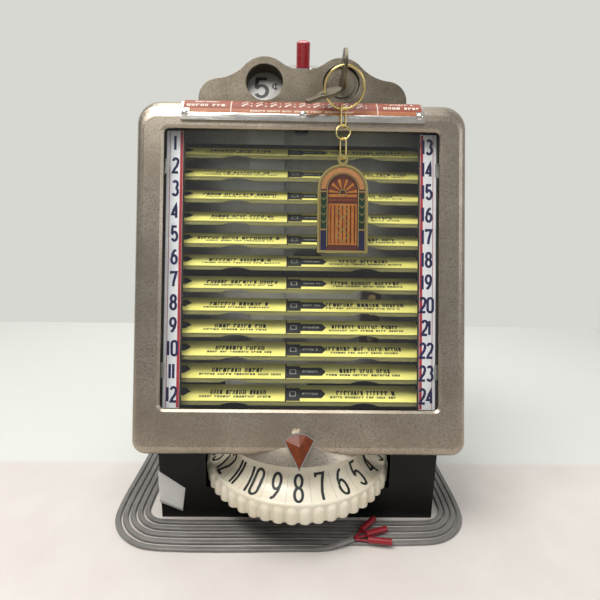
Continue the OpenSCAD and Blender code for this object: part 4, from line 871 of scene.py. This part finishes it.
def price_place(u, v, h):
    """Surface map of the price's leaning disc: u across, v up it."""
    y = PRICE_FRONT - h
    c, s = math.cos(PRICE_LEAN), math.sin(PRICE_LEAN)
    return face_mm(PRICE_AT[0] + u, PRICE_AT[1] + c * y + s * v, PRICE_AT[2] - s * y + c * v)


def make_price():
    """The disc fills the whole window, so its figure shows in full."""
    disc = Marks(price_place, 0.0, PRICE_T)
    disc.fill([(x, (y + PRICE_RISE) / math.cos(PRICE_LEAN))
               for x, y in bow(0, 0, PRICE_R, PRICE_R, 0, 360, 64)[:-1]])
    made = disc.make("price_disc", "cover", PAINT["price_metal"], "price_metal")
    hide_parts("price_plate")
    ink = Marks(price_place, 0.05)
    write_number(ink, "5", *FIVE)
    ink.ribbon(bow(*CENT_AT, *CENT_R, 50, 310, 14), 1.0)
    u, v = CENT_AT
    ink.ribbon([(u, v - CENT_BAR), (u, v + CENT_BAR)], 0.8)
    ink.make("price_figure", "cover", INK["black"], "price_metal")


# ---- key fob ----------------------------------------------------------------------------------

FOB_W = 33.0
FOB_H = 58.0
FOB_TOP = 192.13                   # height of the fob's arch along the face
FOB_FACE = -4.65 - 1.5             # depth of its front
FOB_IN = FOB_W / 2 - 1.4           # half the width inside its rim
FOB_FOOT = -FOB_H + 1.6            # heights on the fob are from its top
ARCH_V = -FOB_W / 2                # centre of its arch
LAYERS = {"tan": 0.12, "amber": 0.12, "rust": 0.12, "green": 0.12, "blue": 0.12, "gold": 0.3}
LEG_U = FOB_IN - 2.6               # middle of the band along the arch and of the legs under it
GREEN_FOOT = -42
BLUE_TOP = -44
LEG_W = 3.6
SUN_V = ARCH_V - 2.5
SUN_R = (2.6, 9.2)
RAYS = 11
RAY_GAP = 1.5                      # degrees at each side of a ray
PANEL_HALF = 9.2
PANEL_TOP = -26
LATTICE_PITCH = 2.6
DIAMONDS = (-31, -39, -47)
DIAMOND_HALF = 4.2


def fob_place(u, v, h):
    return face_mm(HOLE_X + u, FOB_FACE + 0.1 - h, FOB_TOP + v)


def arch(radius, foot):
    """Outline of an arch whose feet stand at height foot."""
    return [(radius, foot)] + bow(0, ARCH_V, radius, radius, 0, 180, 28) + [(-radius, foot)]


def fob_legs(layers):
    """A green and a blue band down each side, with gold chevrons and cross lines."""
    for side in (-1, 1):
        u = side * LEG_U
        layers["green"].ribbon([(u, ARCH_V - 3), (u, GREEN_FOOT)], LEG_W)
        layers["blue"].ribbon([(u, BLUE_TOP), (u, FOB_FOOT)], LEG_W)
        for v in (-22, -27, -32, -37):
            layers["gold"].ribbon([(u - 1.6, v), (u, v - 1.6), (u + 1.6, v)], 0.35)
        for v in (ARCH_V - 1.6, -43):
            layers["gold"].ribbon([(u - 1.9, v), (u + 1.9, v)], 0.7)


def fob_sun(layers):
    """A half sun of rays in two colours round a gold ring."""
    inner, outer = SUN_R
    for i in range(RAYS):
        a0, a1 = 180 * i / RAYS + RAY_GAP, 180 * (i + 1) / RAYS - RAY_GAP
        wedge = bow(0, SUN_V, inner, inner, a0, a1, 2) + bow(0, SUN_V, outer, outer, a1, a0, 4)
        layers["rust" if i % 2 else "amber"].fill(wedge[::-1])
    layers["gold"].ribbon(bow(0, SUN_V, 2.1, 2.1, 0, 360, 20)[:-1], 0.5, True)


def fob_panel(layers):
    """Two bars over an amber panel with rust lines and gold diamonds."""
    for layer, v in (("amber", -20.8), ("rust", -23.6)):
        layers[layer].ribbon([(-PANEL_HALF, v), (PANEL_HALF, v)], 1.9)
    low = FOB_FOOT + 3.4
    layers["amber"].fill([(-PANEL_HALF, low), (PANEL_HALF, low), (PANEL_HALF, PANEL_TOP),
                          (-PANEL_HALF, PANEL_TOP)])
    for i in range(-3, 4):
        u = i * LATTICE_PITCH
        layers["rust"].ribbon([(u, PANEL_TOP - 1), (u, low + 1)], 0.9)
    r = DIAMOND_HALF
    for v in DIAMONDS:
        layers["gold"].ribbon([(-r, v), (0, v + r), (r, v), (0, v - r)], 0.45, True)


def make_fob():
    """Art-deco enamel: stepped arches, a sunburst, banded legs and a lattice panel."""
    layers = {name: Marks(fob_place, lift, 0.1) for name, lift in LAYERS.items()}
    layers["tan"].ribbon(bow(0, ARCH_V, LEG_U, LEG_U, 0, 180, 28), 3.2)
    fob_legs(layers)
    fob_sun(layers)
    layers["gold"].ribbon(arch(FOB_IN - 4.9, FOB_FOOT + 2.4), 0.5)
    layers["gold"].ribbon(arch(FOB_IN - 0.5, FOB_FOOT), 0.4)
    fob_panel(layers)
    for name, marks in layers.items():
        slot = "gold_plate" if name == "gold" else "fob_enamel"
        marks.make("fob_" + name, "key_fob", INK[name], slot)


# ---- paper tag --------------------------------------------------------------------------------

# x and z on the front wall: lower left, lower right, upper left, upper right
TAG_CORNERS = ((-100.4, 13.3), (-83.8, 6.5), (-100.5, 38.6), (-81.6, 24.2))
TAG_STEPS = (14, 8)
TAG_T = 0.25
TAG_GAP = 0.05                     # between the wall and the glued upper edge
TAG_CURL = 1.6                     # how far its lower right corner stands off the wall


def make_tag():
    """A bare slip of paper stuck to the housing's front wall near its left corner."""
    low_left, low_right, top_left, top_right = (Vector(c) for c in TAG_CORNERS)
    n, m = TAG_STEPS
    verts, faces = [], []
    for layer in (0, TAG_T):
        for i in range(n + 1):
            for j in range(m + 1):
                s, t = i / n, j / m
                at = low_left.lerp(low_right, s).lerp(top_left.lerp(top_right, s), t)
                off = TAG_GAP + layer + TAG_CURL * (1 - t) ** 2 * (0.4 + 0.6 * s)
                verts.append(Vector((at.x, FRONT_Y - off, at.y)) * MM)
    row = m + 1
    back = (n + 1) * row
    for i in range(n):
        for j in range(m):
            k = i * row + j
            faces.append([k, k + row, k + row + 1, k + 1])
            faces.append([back + k, back + k + 1, back + k + row + 1, back + k + row])
    rim = ([i * row for i in range(n + 1)] + [n * row + j for j in range(1, row)]
           + [i * row + m for i in range(n - 1, -1, -1)] + [j for j in range(m - 1, 0, -1)])
    for p, q in zip(rim, rim[1:] + rim[:1]):
        faces.append([p, back + p, back + q, q])
    piece("paper_tag", verts, faces, "housing", INK["paper"])


# ---- stage and light, in metres -----------------------------------------------------------------

FLOOR_HALF = 2.5
FLOOR_COLOURS = ((0.68, 0.635, 0.59), (0.63, 0.58, 0.535))
EDGE_Y = 0.016                     # depth where the table ends and the backdrop's sheet starts
EDGE_SOFT = 0.003
WALL_Y = 0.80
WALL_COLOURS = ((0.68, 0.685, 0.645), (0.66, 0.665, 0.625))
COVE_R = 0.35
COVE_ANGLES = range(0, 91, 6)
WORLD = ((0.95, 0.97, 1.0), 0.38)  # colour and strength
LIGHTS = (                         # name, place, aim, size, watts and colour
    ("key", (-0.45, -0.42, 1.2), (0, 0, 0.12), (0.7, 0.4), 9, (1.0, 0.98, 0.95)),
    ("top", (-0.1, 0.0, 1.2), (0, 0, 0.2), (1.3, 0.7), 9, (1, 1, 1)),
    ("fill", (1.0, -0.5, 0.7), (0, 0, 0.15), (0.5, 0.6), 2.5, (0.95, 0.97, 1.0)),
)


def seen_plain(made, colour):
    """Makes a stage material evenly pale where the camera, gloss or glass sees it."""
    tree = made.node_tree
    path = add(tree, "LightPath")
    seen = path.outputs["Is Camera Ray"]
    for other in ("Is Glossy Ray", "Is Transmission Ray"):
        either = add(tree, "Math", [(0, seen), (1, path.outputs[other])], operation="MAXIMUM")
        seen = either.outputs[0]
    plain = add(tree, "Emission", Strength=1.0, Color=(*colour, 1)).outputs["Emission"]
    blend_output(tree, seen, tree.nodes["Principled BSDF"].outputs["BSDF"], plain)


def two_tone(made, colour):
    """Gives the floor the backdrop's colour behind the table's edge."""
    tree = made.node_tree
    coord = add(tree, "TexCoord").outputs["Object"]
    depth = add(tree, "SeparateXYZ", [("Vector", coord)]).outputs["Y"]
    overpaint(tree, level(tree, depth, EDGE_Y - EDGE_SOFT, EDGE_Y + EDGE_SOFT, 0.0, 1.0), colour)


def stage_sheet(name, profile, made):
    """A sheet as wide as the floor through (y, z) points."""
    verts = [(x, y, z) for y, z in profile for x in (-FLOOR_HALF, FLOOR_HALF)]
    faces = [[2 * i, 2 * i + 1, 2 * i + 3, 2 * i + 2] for i in range(len(profile) - 1)]
    mesh = bpy.data.meshes.new(name)
    mesh.from_pydata(verts, [], faces)
    mesh.materials.append(made)
    for polygon in mesh.polygons:
        polygon.use_smooth = True
    obj = bpy.data.objects.new(name, mesh)
    bpy.context.scene.collection.objects.link(obj)


def make_stage():
    floor, floor_second = FLOOR_COLOURS
    wall, wall_second = WALL_COLOURS
    floor_paint = surface("floor", floor, 0.7, second=floor_second, patch=14, grain=300, bump=0.02)
    two_tone(floor_paint, wall)
    stage_sheet("floor", [(-FLOOR_HALF, 0), (WALL_Y - COVE_R, 0)], floor_paint)
    wall_paint = surface("backdrop", wall, 0.9, second=wall_second, patch=3)
    seen_plain(wall_paint, wall)
    cove = [(WALL_Y - COVE_R + COVE_R * math.sin(a), COVE_R - COVE_R * math.cos(a))
            for a in map(math.radians, COVE_ANGLES)]
    stage_sheet("backdrop", cove + [(WALL_Y, FLOOR_HALF)], wall_paint)


def area_light(name, at, aim, size, power, colour):
    data = bpy.data.lights.new(name, "AREA")
    data.shape = "RECTANGLE"
    data.size, data.size_y = size
    data.energy = power
    data.color = colour
    obj = bpy.data.objects.new(name, data)
    obj.location = at
    obj.rotation_euler = (Vector(aim) - Vector(at)).to_track_quat("-Z", "Y").to_euler()
    bpy.context.scene.collection.objects.link(obj)


def make_lights():
    colour, strength = WORLD
    world = bpy.data.worlds.new("studio")
    world.use_nodes = True
    back = world.node_tree.nodes["Background"]
    back.inputs["Color"].default_value = (*colour, 1)
    back.inputs["Strength"].default_value = strength
    bpy.context.scene.world = world
    for light in LIGHTS:
        area_light(*light)


make_camera()
make_cable()
dress_nodes()
make_dial()
make_dial_print()
make_titles()
make_number_strips()
make_plate_print()
make_price()
make_fob()
make_tag()
make_stage()
make_lights()
bpy.context.scene.view_settings.view_transform = "Standard"
